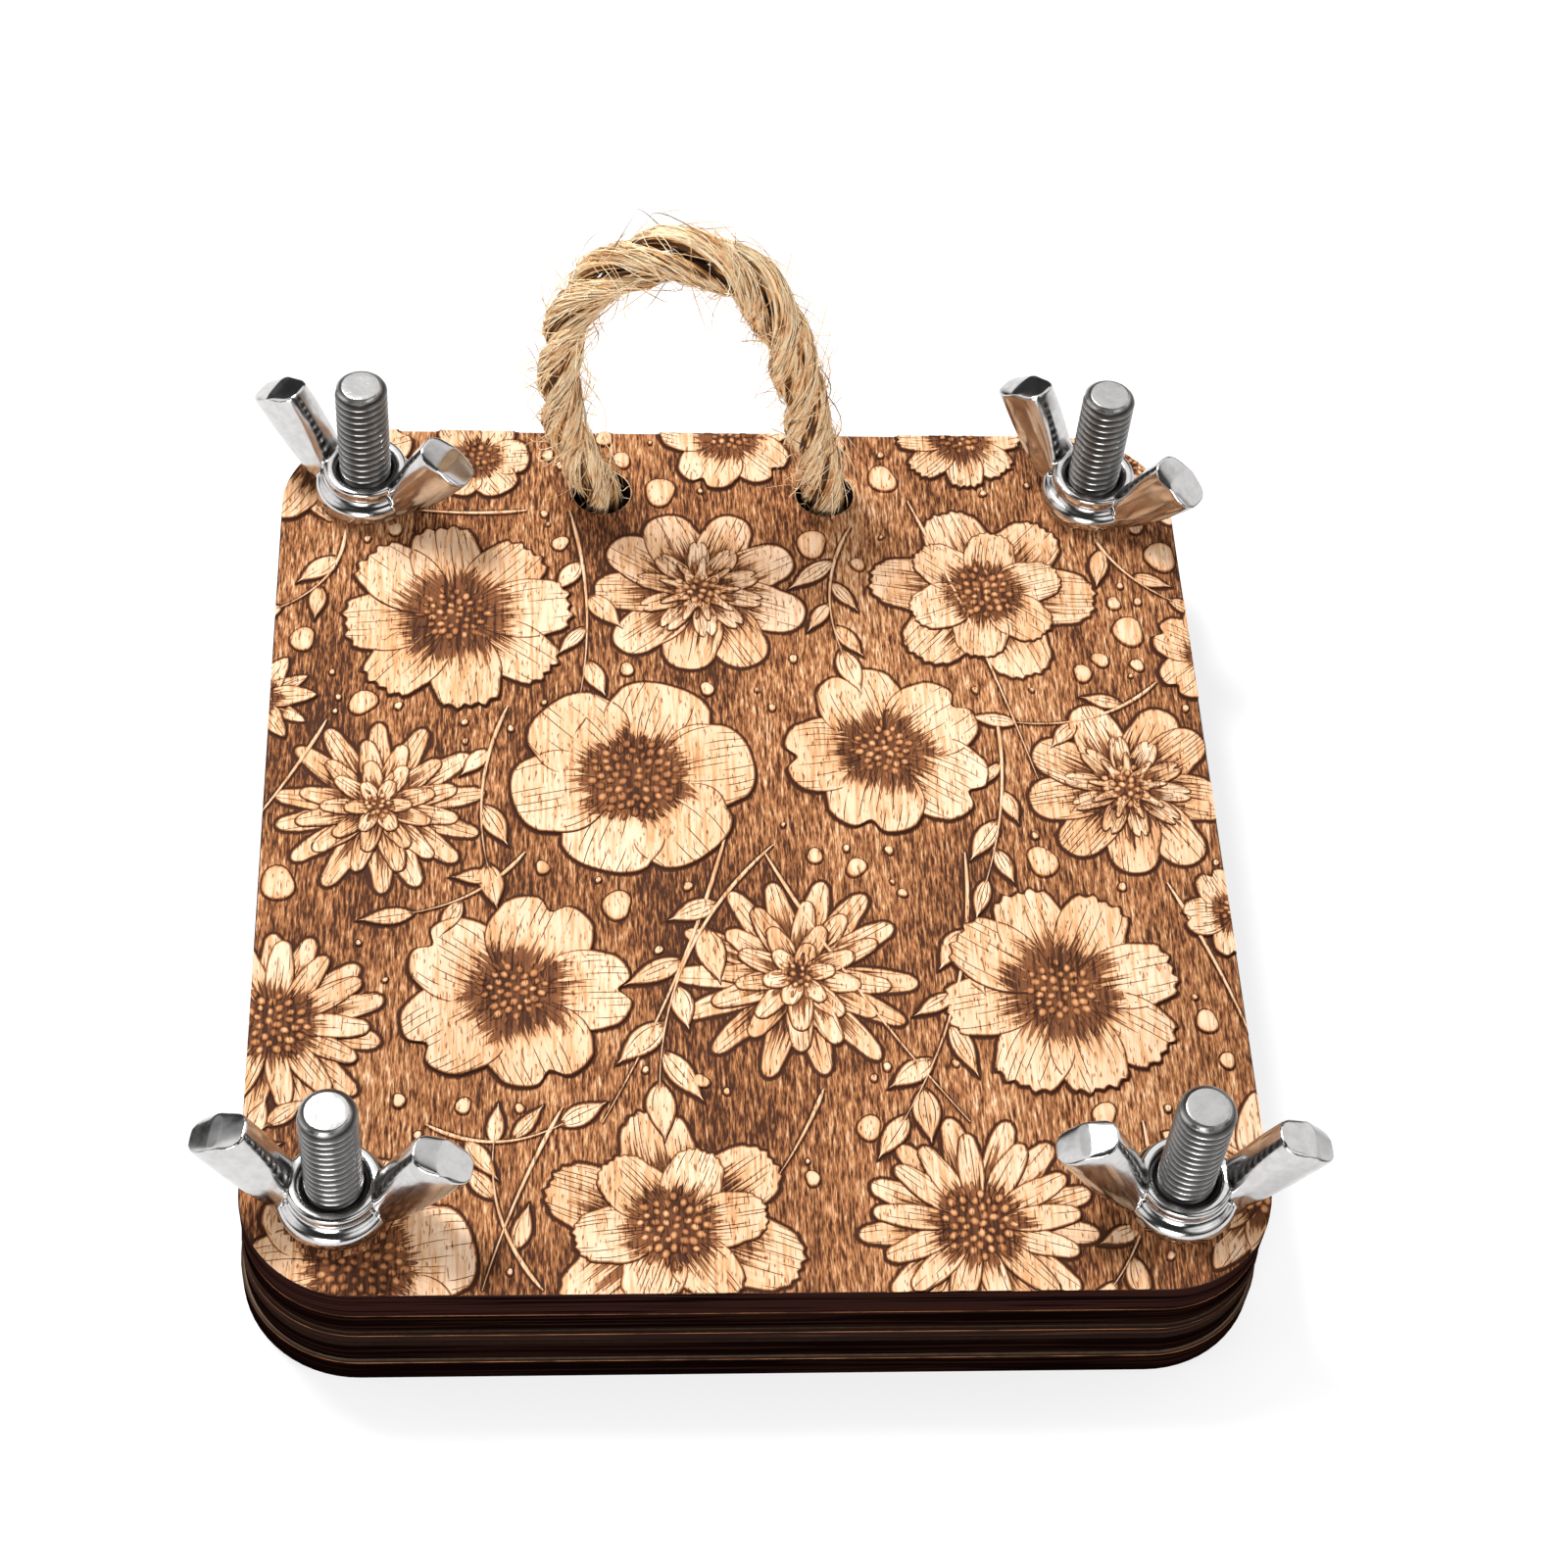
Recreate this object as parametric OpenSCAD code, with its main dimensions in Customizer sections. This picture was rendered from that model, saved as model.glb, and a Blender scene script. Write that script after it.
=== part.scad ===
// Flower press: two plywood boards with drying sheets between them, drawn together
// by four countersunk bolts and wing nuts, with a jute rope loop to carry it by.
// Millimetres. Origin at the middle of the underside, +X right, +Y to the rope, +Z up.

/* [Boards] */
// Width of the top board, left to right
board_w = 105; // [90:1:140]
// Depth of the top board, front to back
board_d = 115; // [90:1:150]
// Radius of the board corners
corner_r = 12; // [6:0.5:16]
// Thickness of the engraved top board
top_t = 4.4; // [3:0.1:8]
// Thickness of the bottom board
bottom_t = 3.4; // [3.3:0.1:8]
// How far the bottom board stands out past the top board on each side
bottom_margin = 0.6; // [0:0.1:3]

/* [Sheets between the boards] */
// Thickness of the upper and lower inner boards
inner_t = 3; // [2:0.1:6]
// Thickness of one sheet of blotting paper
blotter_t = 0.45; // [0.3:0.05:1]
// Thickness of the card divider between the two pairs of blotters
divider_t = 1.2; // [0.6:0.1:3]
// How far the divider and the sheets below it stand out past the sheets above
lower_margin = 0.2; // [0:0.1:0.6]
// How far the blotters are cut back from the boards
blotter_setback = 0.3; // [0:0.1:3]

/* [Bolts] */
// Diameter of the bolts
bolt_d = 6; // [5:0.5:6.5]
// Length of a bolt, head and all
bolt_len = 35; // [32:1:50]
// Distance of the bolts from the left and right edges of the top board
bolt_inset_x = 9.8; // [9:0.1:16]
// Distance of the bolts from the front and back edges of the top board
bolt_inset_y = 10.2; // [9:0.1:16]
// Diameter of the countersunk heads
head_d = 12; // [10:0.5:14]
// Height of the straight rim below the cone of a head
head_rim_h = 0.3; // [0.2:0.1:0.8]
// Distance across the flats of the hexagon socket in a head
socket_af = 4; // [3:0.5:5]
// Depth of the hexagon socket
socket_depth = 2.2; // [1.5:0.1:2.5]
// Advance of a nut for one turn, which also sets the chamfers of the threads
thread_pitch = 1; // [0.8:0.05:1.25]

/* [Wing nuts] */
// Diameter of the round base of a nut
nut_base_d = 11.8; // [10:0.1:14]
// Height of the round hub
nut_hub_h = 4.9; // [3.5:0.1:6]
// Diameter of the collar at the top of the hub
nut_collar_d = 9.6; // [9:0.1:11]
// Distance between the middles of the two wing ends
wing_span = 22.2; // [20:0.2:28]
// Height of the middle of a wing end above the base
wing_rise = 11.5; // [9:0.1:14]
// Width of a wing at its end, in the plane of the wings
wing_end_w = 6.7; // [5.6:0.1:8]
// Thickness of a wing at its end
wing_end_t = 4.5; // [3:0.1:5.5]
// How far the ridge of a wing end stands out past its edge
wing_ridge = 0.4; // [0.2:0.1:1.2]
// Angle that the front left nut is turned to
front_left_angle = -8; // [-90:1:90]
// Angle that the front right nut is turned to
front_right_angle = 0; // [-90:1:90]
// Angle that the back left nut is turned to
back_left_angle = -29; // [-90:1:90]
// Angle that the back right nut is turned to
back_right_angle = -41; // [-90:1:90]

/* [Rope loop] */
// Diameter of the rope
rope_d = 5.7; // [4.5:0.1:5.8]
// Diameter of the two rope holes in the top board
rope_hole_d = 6.8; // [6.6:0.1:9]
// Distance between the middles of the rope holes
rope_hole_gap = 26.4; // [20:0.2:40]
// How far the pair of rope holes sits to the left of the middle
rope_hole_shift = 2; // [0:0.2:6]
// Distance of the rope holes from the back edge of the top board
rope_hole_inset = 9.4; // [8:0.2:14]
// Diameter of the flattened stopper knots under the top board
knot_d = 10.8; // [9:0.1:11]

/* [Hidden] */
$fn = 64;
overrun = 1;

// Clearances
bolt_clearance = 0.3;
head_clearance = 0.05;
thread_clearance = 0.05;
knot_clearance = 0.4;
knot_headroom = 0.3;

// Colours as the photograph shows them
ply_colour = [0.87, 0.66, 0.46];
burnt_colour = [0.24, 0.15, 0.12];
paper_colour = [0.93, 0.9, 0.82];
card_colour = [0.62, 0.5, 0.38];
steel_colour = [0.75, 0.76, 0.78];
jute_colour = [0.76, 0.6, 0.38];

// Heights of the undersides of the layers, from the bottom up
z_inner_lower = bottom_t;
z_blotter_1 = z_inner_lower + inner_t;
z_blotter_2 = z_blotter_1 + blotter_t;
z_divider = z_blotter_2 + blotter_t;
z_blotter_3 = z_divider + divider_t;
z_blotter_4 = z_blotter_3 + blotter_t;
z_inner_upper = z_blotter_4 + blotter_t;
z_top = z_inner_upper + inner_t;
z_nut = z_top + top_t;

bolt_x = board_w / 2 - bolt_inset_x;
bolt_y = board_d / 2 - bolt_inset_y;
bolt_hole_d = bolt_d + 2 * bolt_clearance;
bolt_places = [[-bolt_x, -bolt_y], [bolt_x, -bolt_y], [-bolt_x, bolt_y], [bolt_x, bolt_y]];
head_cone_h = (head_d - bolt_d) / 2;
nut_bore_d = bolt_d + 2 * thread_clearance;

rope_hole_x = [-rope_hole_gap / 2 - rope_hole_shift, rope_hole_gap / 2 - rope_hole_shift];
rope_hole_y = board_d / 2 - rope_hole_inset;
knot_hole_d = knot_d + 2 * knot_clearance;
knot_top = z_top - knot_headroom;
knot_bottom = z_inner_lower + knot_headroom;

// Chamfers at the bolt tips and nut bores, as shares of the pitch
tip_chamfer_share = 0.8;
bore_chamfer_share = 0.7;
tip_chamfer = thread_pitch * tip_chamfer_share;
bore_chamfer = thread_pitch * bore_chamfer_share;

// Hub of a wing nut: shares of the base radius, and of the hub height
hub_foot_share = 0.83;
hub_toe_share = 0.06;
hub_belly_shares = [0.2, 0.52];
hub_shoulder_share = 0.72;
collar_edge_share = 0.035;

// Wing of a nut, root to end: share of the way out, share of the way up,
// share of the growth in width, share of the end's thickness and tilt of the section
wing_shares = [
    [0, 0, 0, 1.06, 24],
    [0.2, 0.16, 0.33, 1.03, 34],
    [0.42, 0.38, 0.62, 1.01, 44],
    [0.68, 0.66, 0.85, 1, 53],
    [0.9, 0.89, 0.97, 1, 60],
    [1, 1, 1, 0.98, 62]
];

// Root of a wing, sunk in the hub: its upper edge lies just under the middle of the hub's upper rim
wing_root_w_share = 0.9;
wing_root_top_share = 0.97;
collar_edge = nut_base_d * collar_edge_share;
hub_ring_r = (nut_bore_d / 2 + bore_chamfer + nut_collar_d / 2 - collar_edge) / 2;
wing_root_w = nut_hub_h * wing_root_w_share;
wing_root_tilt = wing_shares[0][4];
wing_root_r = hub_ring_r + wing_root_w / 2 * sin(wing_root_tilt);
wing_root_z = nut_hub_h * wing_root_top_share - wing_root_w / 2 * cos(wing_root_tilt);
wing_ridge_w_share = 0.16;
wing_sides = 16;
wing_roundness = 0.7;

// Rope: its middle line from knot to knot, seen from the front, with the holes at either end
rope_route = [
    [-15.2, 48.1, 15], [-15.3, 48.1, 17], [-16.6, 48.1, 19.5], [-18.2, 48.2, 22.5],
    [-19.6, 48.4, 26.5], [-20.3, 48.6, 31], [-20.4, 48.9, 36], [-20.2, 49.2, 41],
    [-19, 49.5, 45.5], [-16.5, 49.8, 49.5], [-12.8, 50, 52.2], [-8, 50.1, 53.4],
    [-3.4, 50, 52.6], [0.4, 49.8, 50], [3.2, 49.6, 46], [5.2, 49.3, 41],
    [6.8, 49, 35.5], [8.1, 48.7, 29.5], [9.6, 48.4, 23.5], [10.6, 48.2, 20],
    [11.1, 48.1, 17], [11.2, 48.1, 15]
];
rope_sides = 10;

// Knot: shares of its radius and height, from its flat foot up to its flat top
knot_shares = [
    [0, 0], [0.6, 0], [0.9, 0.12], [1, 0.32], [0.95, 0.5], [1, 0.68], [0.9, 0.88], [0.6, 1], [0, 1]
];

function signed_power(v, p) = sign(v) * pow(abs(v), p);
function unit(v) = v / norm(v);

// Board outline with round corners, grown by a margin
module outline(margin) {
    r = corner_r + margin;
    x = board_w / 2 + margin - r;
    y = board_d / 2 + margin - r;
    union() {
        square([2 * x, 2 * (y + r)], center = true);
        square([2 * (x + r), 2 * y], center = true);
        for (sx = [-1, 1], sy = [-1, 1])
            translate([sx * x, sy * y]) circle(r);
    }
}

// One hole through a layer at each bolt
module bolt_holes(z, t) {
    for (p = bolt_places)
        translate([p[0], p[1], z - overrun]) cylinder(d = bolt_hole_d, h = t + 2 * overrun);
}

// One hole through a layer at each end of the rope
module rope_holes(z, t, d) {
    for (x = rope_hole_x)
        translate([x, rope_hole_y, z - overrun]) cylinder(d = d, h = t + 2 * overrun);
}

// A sheet between the boards, threaded on the bolts and open round the two knots
module sheet(z, t, margin) {
    difference() {
        translate([0, 0, z]) linear_extrude(t) outline(margin);
        bolt_holes(z, t);
        rope_holes(z, t, knot_hole_d);
    }
}

// Seat for a countersunk head, wider than the head by its clearance
module head_seat() {
    rim = head_rim_h + head_clearance;
    wide = head_d / 2 + head_clearance;
    translate([0, 0, -overrun]) cylinder(r = wide, h = rim + overrun);
    translate([0, 0, rim]) cylinder(r1 = wide, r2 = bolt_hole_d / 2, h = wide - bolt_hole_d / 2);
}

module bottom_board() {
    color(ply_colour)
        difference() {
            linear_extrude(bottom_t) outline(bottom_margin);
            bolt_holes(0, bottom_t);
            for (p = bolt_places)
                translate([p[0], p[1], 0]) head_seat();
        }
}

// Countersunk bolt with a hexagon socket, head down, chamfered at its tip
module bolt(place) {
    shank_top = bolt_len - tip_chamfer;
    color(steel_colour)
        translate([place[0], place[1], 0])
            difference() {
                rotate_extrude()
                    polygon([
                        [0, 0], [head_d / 2, 0], [head_d / 2, head_rim_h],
                        [bolt_d / 2, head_rim_h + head_cone_h], [bolt_d / 2, shank_top],
                        [bolt_d / 2 - tip_chamfer, bolt_len], [0, bolt_len]
                    ]);
                translate([0, 0, -overrun])
                    cylinder(r = socket_af / 2 / cos(30), h = socket_depth + overrun, $fn = 6);
            }
}

module bolt_front_left() bolt(bolt_places[0]);
module bolt_front_right() bolt(bolt_places[1]);
module bolt_back_left() bolt(bolt_places[2]);
module bolt_back_right() bolt(bolt_places[3]);

module inner_board_lower() {
    color(burnt_colour) sheet(z_inner_lower, inner_t, lower_margin);
}

module blotter_1() {
    color(paper_colour) sheet(z_blotter_1, blotter_t, lower_margin - blotter_setback);
}

module blotter_2() {
    color(paper_colour) sheet(z_blotter_2, blotter_t, lower_margin - blotter_setback);
}

module divider() {
    color(card_colour) sheet(z_divider, divider_t, lower_margin);
}

module blotter_3() {
    color(paper_colour) sheet(z_blotter_3, blotter_t, -blotter_setback);
}

module blotter_4() {
    color(paper_colour) sheet(z_blotter_4, blotter_t, -blotter_setback);
}

module inner_board_upper() {
    color(burnt_colour) sheet(z_inner_upper, inner_t, 0);
}

module top_board() {
    color(ply_colour)
        difference() {
            translate([0, 0, z_top]) linear_extrude(top_t) outline(0);
            bolt_holes(z_top, top_t);
            rope_holes(z_top, top_t, rope_hole_d);
        }
}

// Section of a wing: a rounded block of a width and a thickness, tilted in the plane of the wings
function wing_ring(r, z, w, t, tilt) = [
    for (i = [0:wing_sides - 1])
        let (a = 360 * i / wing_sides)
        let (u = w / 2 * signed_power(cos(a), wing_roundness))
        let (v = t / 2 * signed_power(sin(a), wing_roundness))
        [r + u * sin(tilt), v, z - u * cos(tilt)]
];

// Forged wing: sections laid from the hub out to the end, and a ridge beyond the end
module wing() {
    out = wing_span / 2 - wing_root_r;
    up = wing_rise - wing_root_z;
    last = wing_shares[len(wing_shares) - 1];
    ridge_r = wing_span / 2 + wing_ridge * cos(last[4]);
    ridge_z = wing_rise + wing_ridge * sin(last[4]);
    rings = concat(
        [
            for (s = wing_shares)
                wing_ring(wing_root_r + s[0] * out, wing_root_z + s[1] * up,
                    wing_root_w + s[2] * (wing_end_w - wing_root_w), s[3] * wing_end_t, s[4])
        ],
        [wing_ring(ridge_r, ridge_z, wing_ridge_w_share * wing_end_w, last[3] * wing_end_t, last[4])]
    );
    tube(rings, wing_sides);
}

// Closed skin over a row of rings that have the same number of points
module tube(rings, sides) {
    n = len(rings);
    points = [for (ring = rings) each ring];
    walls = [
        for (k = [0:n - 2], i = [0:sides - 1])
            let (a = k * sides + i)
            let (b = k * sides + (i + 1) % sides)
            each [[a, a + sides, b], [b, a + sides, b + sides]]
    ];
    foot = [[for (i = [0:sides - 1]) i]];
    head = [[for (i = [0:sides - 1]) n * sides - 1 - i]];
    polyhedron(points, concat(walls, foot, head));
}

// Round hub of a nut: flat foot, rounded belly, shoulder, collar and chamfered bore
module hub() {
    bore_r = nut_bore_d / 2;
    base_r = nut_base_d / 2;
    collar_r = nut_collar_d / 2;
    rotate_extrude()
        polygon([
            [bore_r, 0], [base_r * hub_foot_share, 0],
            [base_r * (1 + hub_foot_share) / 2, nut_hub_h * hub_toe_share],
            [base_r, nut_hub_h * hub_belly_shares[0]], [base_r, nut_hub_h * hub_belly_shares[1]],
            [(base_r + collar_r) / 2, nut_hub_h * (hub_belly_shares[1] + hub_shoulder_share) / 2],
            [collar_r, nut_hub_h * hub_shoulder_share], [collar_r, nut_hub_h - collar_edge],
            [collar_r - collar_edge, nut_hub_h], [bore_r + bore_chamfer, nut_hub_h],
            [bore_r, nut_hub_h - bore_chamfer]
        ]);
}

module wing_nut(place, turn) {
    color(steel_colour)
        translate([place[0], place[1], z_nut])
            rotate(turn) {
                hub();
                wing();
                rotate(180) wing();
            }
}

module wing_nut_front_left() wing_nut(bolt_places[0], front_left_angle);
module wing_nut_front_right() wing_nut(bolt_places[1], front_right_angle);
module wing_nut_back_left() wing_nut(bolt_places[2], back_left_angle);
module wing_nut_back_right() wing_nut(bolt_places[3], back_right_angle);

// Ring of points square to the rope at one point of its route
function rope_ring(p, along) =
    let (side = unit(cross([0, 1, 0], along)))
    let (up = cross(along, side))
    [
        for (i = [0:rope_sides - 1])
            let (a = 360 * i / rope_sides)
            p + rope_d / 2 * (side * cos(a) + up * sin(a))
    ];

module rope() {
    feet = [[rope_hole_x[0], rope_hole_y, knot_top], [rope_hole_x[1], rope_hole_y, knot_top]];
    line = concat([feet[0]], rope_route, [feet[1]]);
    n = len(line);
    color(jute_colour)
        tube([
            for (k = [0:n - 1])
                rope_ring(line[k], k == 0 ? [0, 0, 1] : k == n - 1 ? [0, 0, -1]
                    : unit(unit(line[k + 1] - line[k]) + unit(line[k] - line[k - 1])))
        ], rope_sides);
}

// Stopper knot, pressed flat between the boards
module rope_knot(x) {
    color(jute_colour)
        translate([x, rope_hole_y, knot_bottom])
            rotate_extrude()
                polygon([for (s = knot_shares) [s[0] * knot_d / 2, s[1] * (knot_top - knot_bottom)]]);
}

module rope_knot_left() rope_knot(rope_hole_x[0]);
module rope_knot_right() rope_knot(rope_hole_x[1]);

bottom_board();
bolt_front_left();
bolt_front_right();
bolt_back_left();
bolt_back_right();
inner_board_lower();
blotter_1();
blotter_2();
divider();
blotter_3();
blotter_4();
inner_board_upper();
top_board();
wing_nut_front_left();
wing_nut_front_right();
wing_nut_back_left();
wing_nut_back_right();
rope();
rope_knot_left();
rope_knot_right();
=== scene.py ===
import math
import bpy
import numpy as np
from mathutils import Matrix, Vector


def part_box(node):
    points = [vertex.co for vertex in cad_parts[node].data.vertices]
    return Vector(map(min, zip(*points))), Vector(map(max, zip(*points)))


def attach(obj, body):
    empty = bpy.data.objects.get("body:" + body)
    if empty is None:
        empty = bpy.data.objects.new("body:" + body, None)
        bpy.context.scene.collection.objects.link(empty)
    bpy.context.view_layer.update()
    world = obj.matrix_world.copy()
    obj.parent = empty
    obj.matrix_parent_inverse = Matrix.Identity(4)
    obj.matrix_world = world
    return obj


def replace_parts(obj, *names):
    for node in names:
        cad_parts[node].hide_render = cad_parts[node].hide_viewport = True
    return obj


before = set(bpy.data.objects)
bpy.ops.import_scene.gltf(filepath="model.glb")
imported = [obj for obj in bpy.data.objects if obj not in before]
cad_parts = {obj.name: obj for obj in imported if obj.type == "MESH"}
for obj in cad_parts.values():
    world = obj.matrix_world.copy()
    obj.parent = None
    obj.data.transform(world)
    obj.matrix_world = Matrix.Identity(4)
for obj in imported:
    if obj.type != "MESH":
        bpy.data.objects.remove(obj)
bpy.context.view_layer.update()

# Looks for the flower press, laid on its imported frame. Blender works in metres, and mm turns
# millimetres into them
mm = 0.001
fullTurn = 2 * math.pi
nutNames = ["front_left", "front_right", "back_left", "back_right"]


# Lowest and highest corner of a CAD node, in millimetres
def cornersOf(node):
    low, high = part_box(node)
    return np.array(low) / mm, np.array(high) / mm


# Middle of a CAD node seen from above, in millimetres
def middleOf(node):
    low, high = cornersOf(node)
    return (low + high)[:2] / 2


boardLow, boardHigh = cornersOf("top_board")
boardHalf = (boardHigh - boardLow)[:2] / 2
boltPlaces = {name: middleOf("bolt_" + name) for name in nutNames}
ropeHolePlaces = [middleOf("rope_knot_left"), middleOf("rope_knot_right")]

camera = {
    "place": (-0.0230, -0.20827, 0.30643),  # metres
    "turn": (36.45, -3.63, -2.45),  # degrees
    "lens": 74.87,
    "sensor": 36,
    "nearest": 0.01,
}


# The camera that was fitted to the photo: its place, turn and lens as they were found
def addCamera(values):
    data = bpy.data.cameras.new("camera")
    data.sensor_fit = "HORIZONTAL"
    data.sensor_width = values["sensor"]
    data.lens = values["lens"]
    data.clip_start = values["nearest"]
    made = bpy.data.objects.new("camera", data)
    made.location = values["place"]
    made.rotation_euler = [math.radians(a) for a in values["turn"]]
    bpy.context.scene.collection.objects.link(made)
    bpy.context.scene.camera = made


addCamera(camera)
print("camera placed")


# Smooth step from 0 at a to 1 at b
def fade(v, a, b):
    t = np.clip((v - a) / (b - a), 0, 1)
    return t * t * (3 - 2 * t)


# Lengths of vectors kept in the last axis, with that axis kept
def size(v):
    return np.linalg.norm(v, axis=-1, keepdims=True)


# The same vectors, each divided by its length
def unit(v):
    return v / size(v)


# Directions in the plane of the board at given angles: cosine and sine
def heading(angles):
    return np.stack([np.cos(angles), np.sin(angles)], -1)


# The same vectors turned a quarter to the right: y and minus x
def rightOf(ahead):
    return np.stack([ahead[..., 1], -ahead[..., 0]], -1)


# Angles of evenly spaced points round a full turn, as one row
def turnsRound(count):
    return np.linspace(0, fullTurn, count, endpoint=False)[None, :]


# Corner numbers of n grids laid one after the other: face (i, j) runs along its row and then up to the next
def gridFaces(n, rows, cols, closed=False):
    i = np.arange(rows - 1)[:, None]
    j = np.arange(cols if closed else cols - 1)[None, :]
    a = i * cols + j
    b = i * cols + (j + 1) % cols
    quads = np.stack([a, b, b + cols, a + cols], -1).reshape(-1, 4)
    return (quads[None] + (np.arange(n) * rows * cols)[:, None, None]).reshape(-1, 4)


# Faces of n tubes of rings of points: the skin, and either a face on each end or, on one endless tube,
# the strip from its last ring back to its first
def tubeFaces(n, rows, around, endless=False):
    first = np.arange(around)
    last = (rows - 1) * around + first
    if endless:
        strip = np.stack([last, np.roll(last, -1), np.roll(first, -1), first], 1)
        return [gridFaces(n, rows, around, True), strip]
    base = (np.arange(n) * rows * around)[:, None]
    return [gridFaces(n, rows, around, True), base + first[::-1], base + last]


# A mesh piece from points in millimetres and lists of faces, with named point values and one UV map
def makePiece(name, points, faces, materials, values=None, uv=None, slots=None, closed=False, sharp=40):
    points = np.asarray(points, float).reshape(-1, 3) * mm
    rows = [row for part in faces for row in np.asarray(part).tolist()]
    mesh = bpy.data.meshes.new(name)
    mesh.from_pydata(points.tolist(), [], rows)
    for key, data in (values or {}).items():
        layer = mesh.attributes.new(key, "FLOAT", "POINT")
        layer.data.foreach_set("value", np.asarray(data, np.float32).ravel())
    if uv is not None:
        corners = np.empty(len(mesh.loops), np.int32)
        mesh.loops.foreach_get("vertex_index", corners)
        flat = np.asarray(uv, np.float32).reshape(-1, 2)[corners]
        mesh.uv_layers.new(name="grain").data.foreach_set("uv", flat.ravel())
    for material in materials:
        mesh.materials.append(material)
    if slots is not None:
        mesh.polygons.foreach_set("material_index", np.asarray(slots, np.int32))
    mesh.validate()
    mesh.update()
    if closed:
        # A closed skin is inside out where its volume, the sum of its corners' triple products, is negative
        mesh.calc_loop_triangles()
        tri = np.empty(len(mesh.loop_triangles) * 3, np.int32)
        mesh.loop_triangles.foreach_get("vertices", tri)
        p = points[tri.reshape(-1, 3)]
        if np.einsum("ij,ij->i", p[:, 0], np.cross(p[:, 1], p[:, 2])).sum() < 0:
            mesh.flip_normals()
    mesh.polygons.foreach_set("use_smooth", np.ones(len(mesh.polygons), bool))
    mesh.set_sharp_from_angle(angle=math.radians(sharp))
    made = bpy.data.objects.new(name, mesh)
    bpy.context.scene.collection.objects.link(made)
    return made


# What a shader node gives out; sums, differences and products of it are further nodes of the same graph
class Wire:
    def __init__(self, graph, socket):
        self.graph = graph
        self.socket = socket

    def __add__(self, other):
        return self.graph.math("ADD", self, other)

    def __sub__(self, other):
        return self.graph.math("SUBTRACT", self, other)

    def __mul__(self, other):
        return self.graph.math("MULTIPLY", self, other)


# The emptied node tree of a material or a world, and the nodes that are put into it
class Graph:
    def __init__(self, owner):
        owner.use_nodes = True
        self.tree = owner.node_tree
        self.tree.nodes.clear()

    # An output of a new node: settings are its own properties, inputs its sockets by place or name
    def add(self, kind, settings=None, inputs=None, output=0):
        made = self.tree.nodes.new("ShaderNode" + kind)
        for key, value in (settings or {}).items():
            setattr(made, key, value)
        for key, value in (inputs or {}).items():
            if isinstance(value, Wire):
                self.tree.links.new(value.socket, made.inputs[key])
            else:
                made.inputs[key].default_value = value
        return Wire(self, made.outputs[output]) if len(made.outputs) else None

    # One operation on values
    def math(self, operation, *inputs):
        return self.add("Math", {"operation": operation}, dict(enumerate(inputs)))

    # One operation on vectors
    def vector(self, operation, *inputs, output=0):
        return self.add("VectorMath", {"operation": operation}, dict(enumerate(inputs)), output)

    # A point value of the mesh
    def attribute(self, name):
        return self.add("Attribute", {"attribute_name": name}, output="Fac")

    # A value carried from one range to another, held at both ends
    def span(self, value, fromLow, fromHigh, toLow=0.0, toHigh=1.0):
        inputs = {0: value, 1: fromLow, 2: fromHigh, 3: toLow, 4: toHigh}
        return self.add("MapRange", {"interpolation_type": "SMOOTHSTEP"}, inputs)

    # a where the factor is 0, b where it is 1, and a straight blend between
    def mixValue(self, factor, a, b):
        return self.add("Mix", {"data_type": "FLOAT"}, {0: factor, 2: a, 3: b})

    def mixColour(self, factor, a, b):
        return self.add("Mix", {"data_type": "RGBA"}, {0: factor, 6: a, 7: b}, 2)

    # Noise read at coordinates stretched by three scales, in waves for each metre or UV unit, and turned
    # off the noise's own axes so that its lattice doesn't show
    def noise(self, coordinates, scales, detail=2.0, rough=0.5, shift=(0, 0, 0)):
        inputs = {"Vector": coordinates, "Scale": scales, "Location": shift, "Rotation": (0.5, 0.7, 0.3)}
        place = self.add("Mapping", {}, inputs)
        inputs = {"Vector": place, "Scale": 1.0, "Detail": detail, "Roughness": rough}
        return self.add("TexNoise", {}, inputs)

    # Colours at places from 0 to 1, blended between
    def ramp(self, value, stops):
        made = self.add("ValToRGB", {}, {0: value})
        marks = made.socket.node.color_ramp.elements
        while len(marks) < len(stops):
            marks.new(0.5)
        for mark, (place, colour) in zip(marks, stops):
            mark.position = place
            mark.color = (*colour, 1)
        return made

    # The shader itself and the material's output, with a bump from one height
    def surface(self, colour, rough, height, depth, settings=None):
        bump = self.add("Bump", {}, {"Height": height, "Distance": depth, "Strength": 1.0})
        inputs = {"Base Color": colour, "Roughness": rough, "Normal": bump, **(settings or {})}
        self.add("OutputMaterial", {}, {0: self.add("BsdfPrincipled", {}, inputs)})


# A new material and its graph
def newMaterial(name):
    made = bpy.data.materials.new(name)
    return made, Graph(made)


jute = {
    "pale": (1.0, 0.83, 0.57),
    "straw": (0.9, 0.54, 0.24),
    "brown": (0.5, 0.23, 0.075),
    "dark": (0.1, 0.045, 0.02),
    "fine": 3.9,  # weights of the fine and the broad fibres, and of the painted shade in the gaps between them
    "broad": 2.4,
    "gapShade": 0.65,
    "skin": -2.14,  # what makes the rope, and then its loose fibres, paler or darker as a whole
    "hair": -2.2,
    "rough": 0.75,
    "relief": 0.0002,  # metres
}
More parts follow.
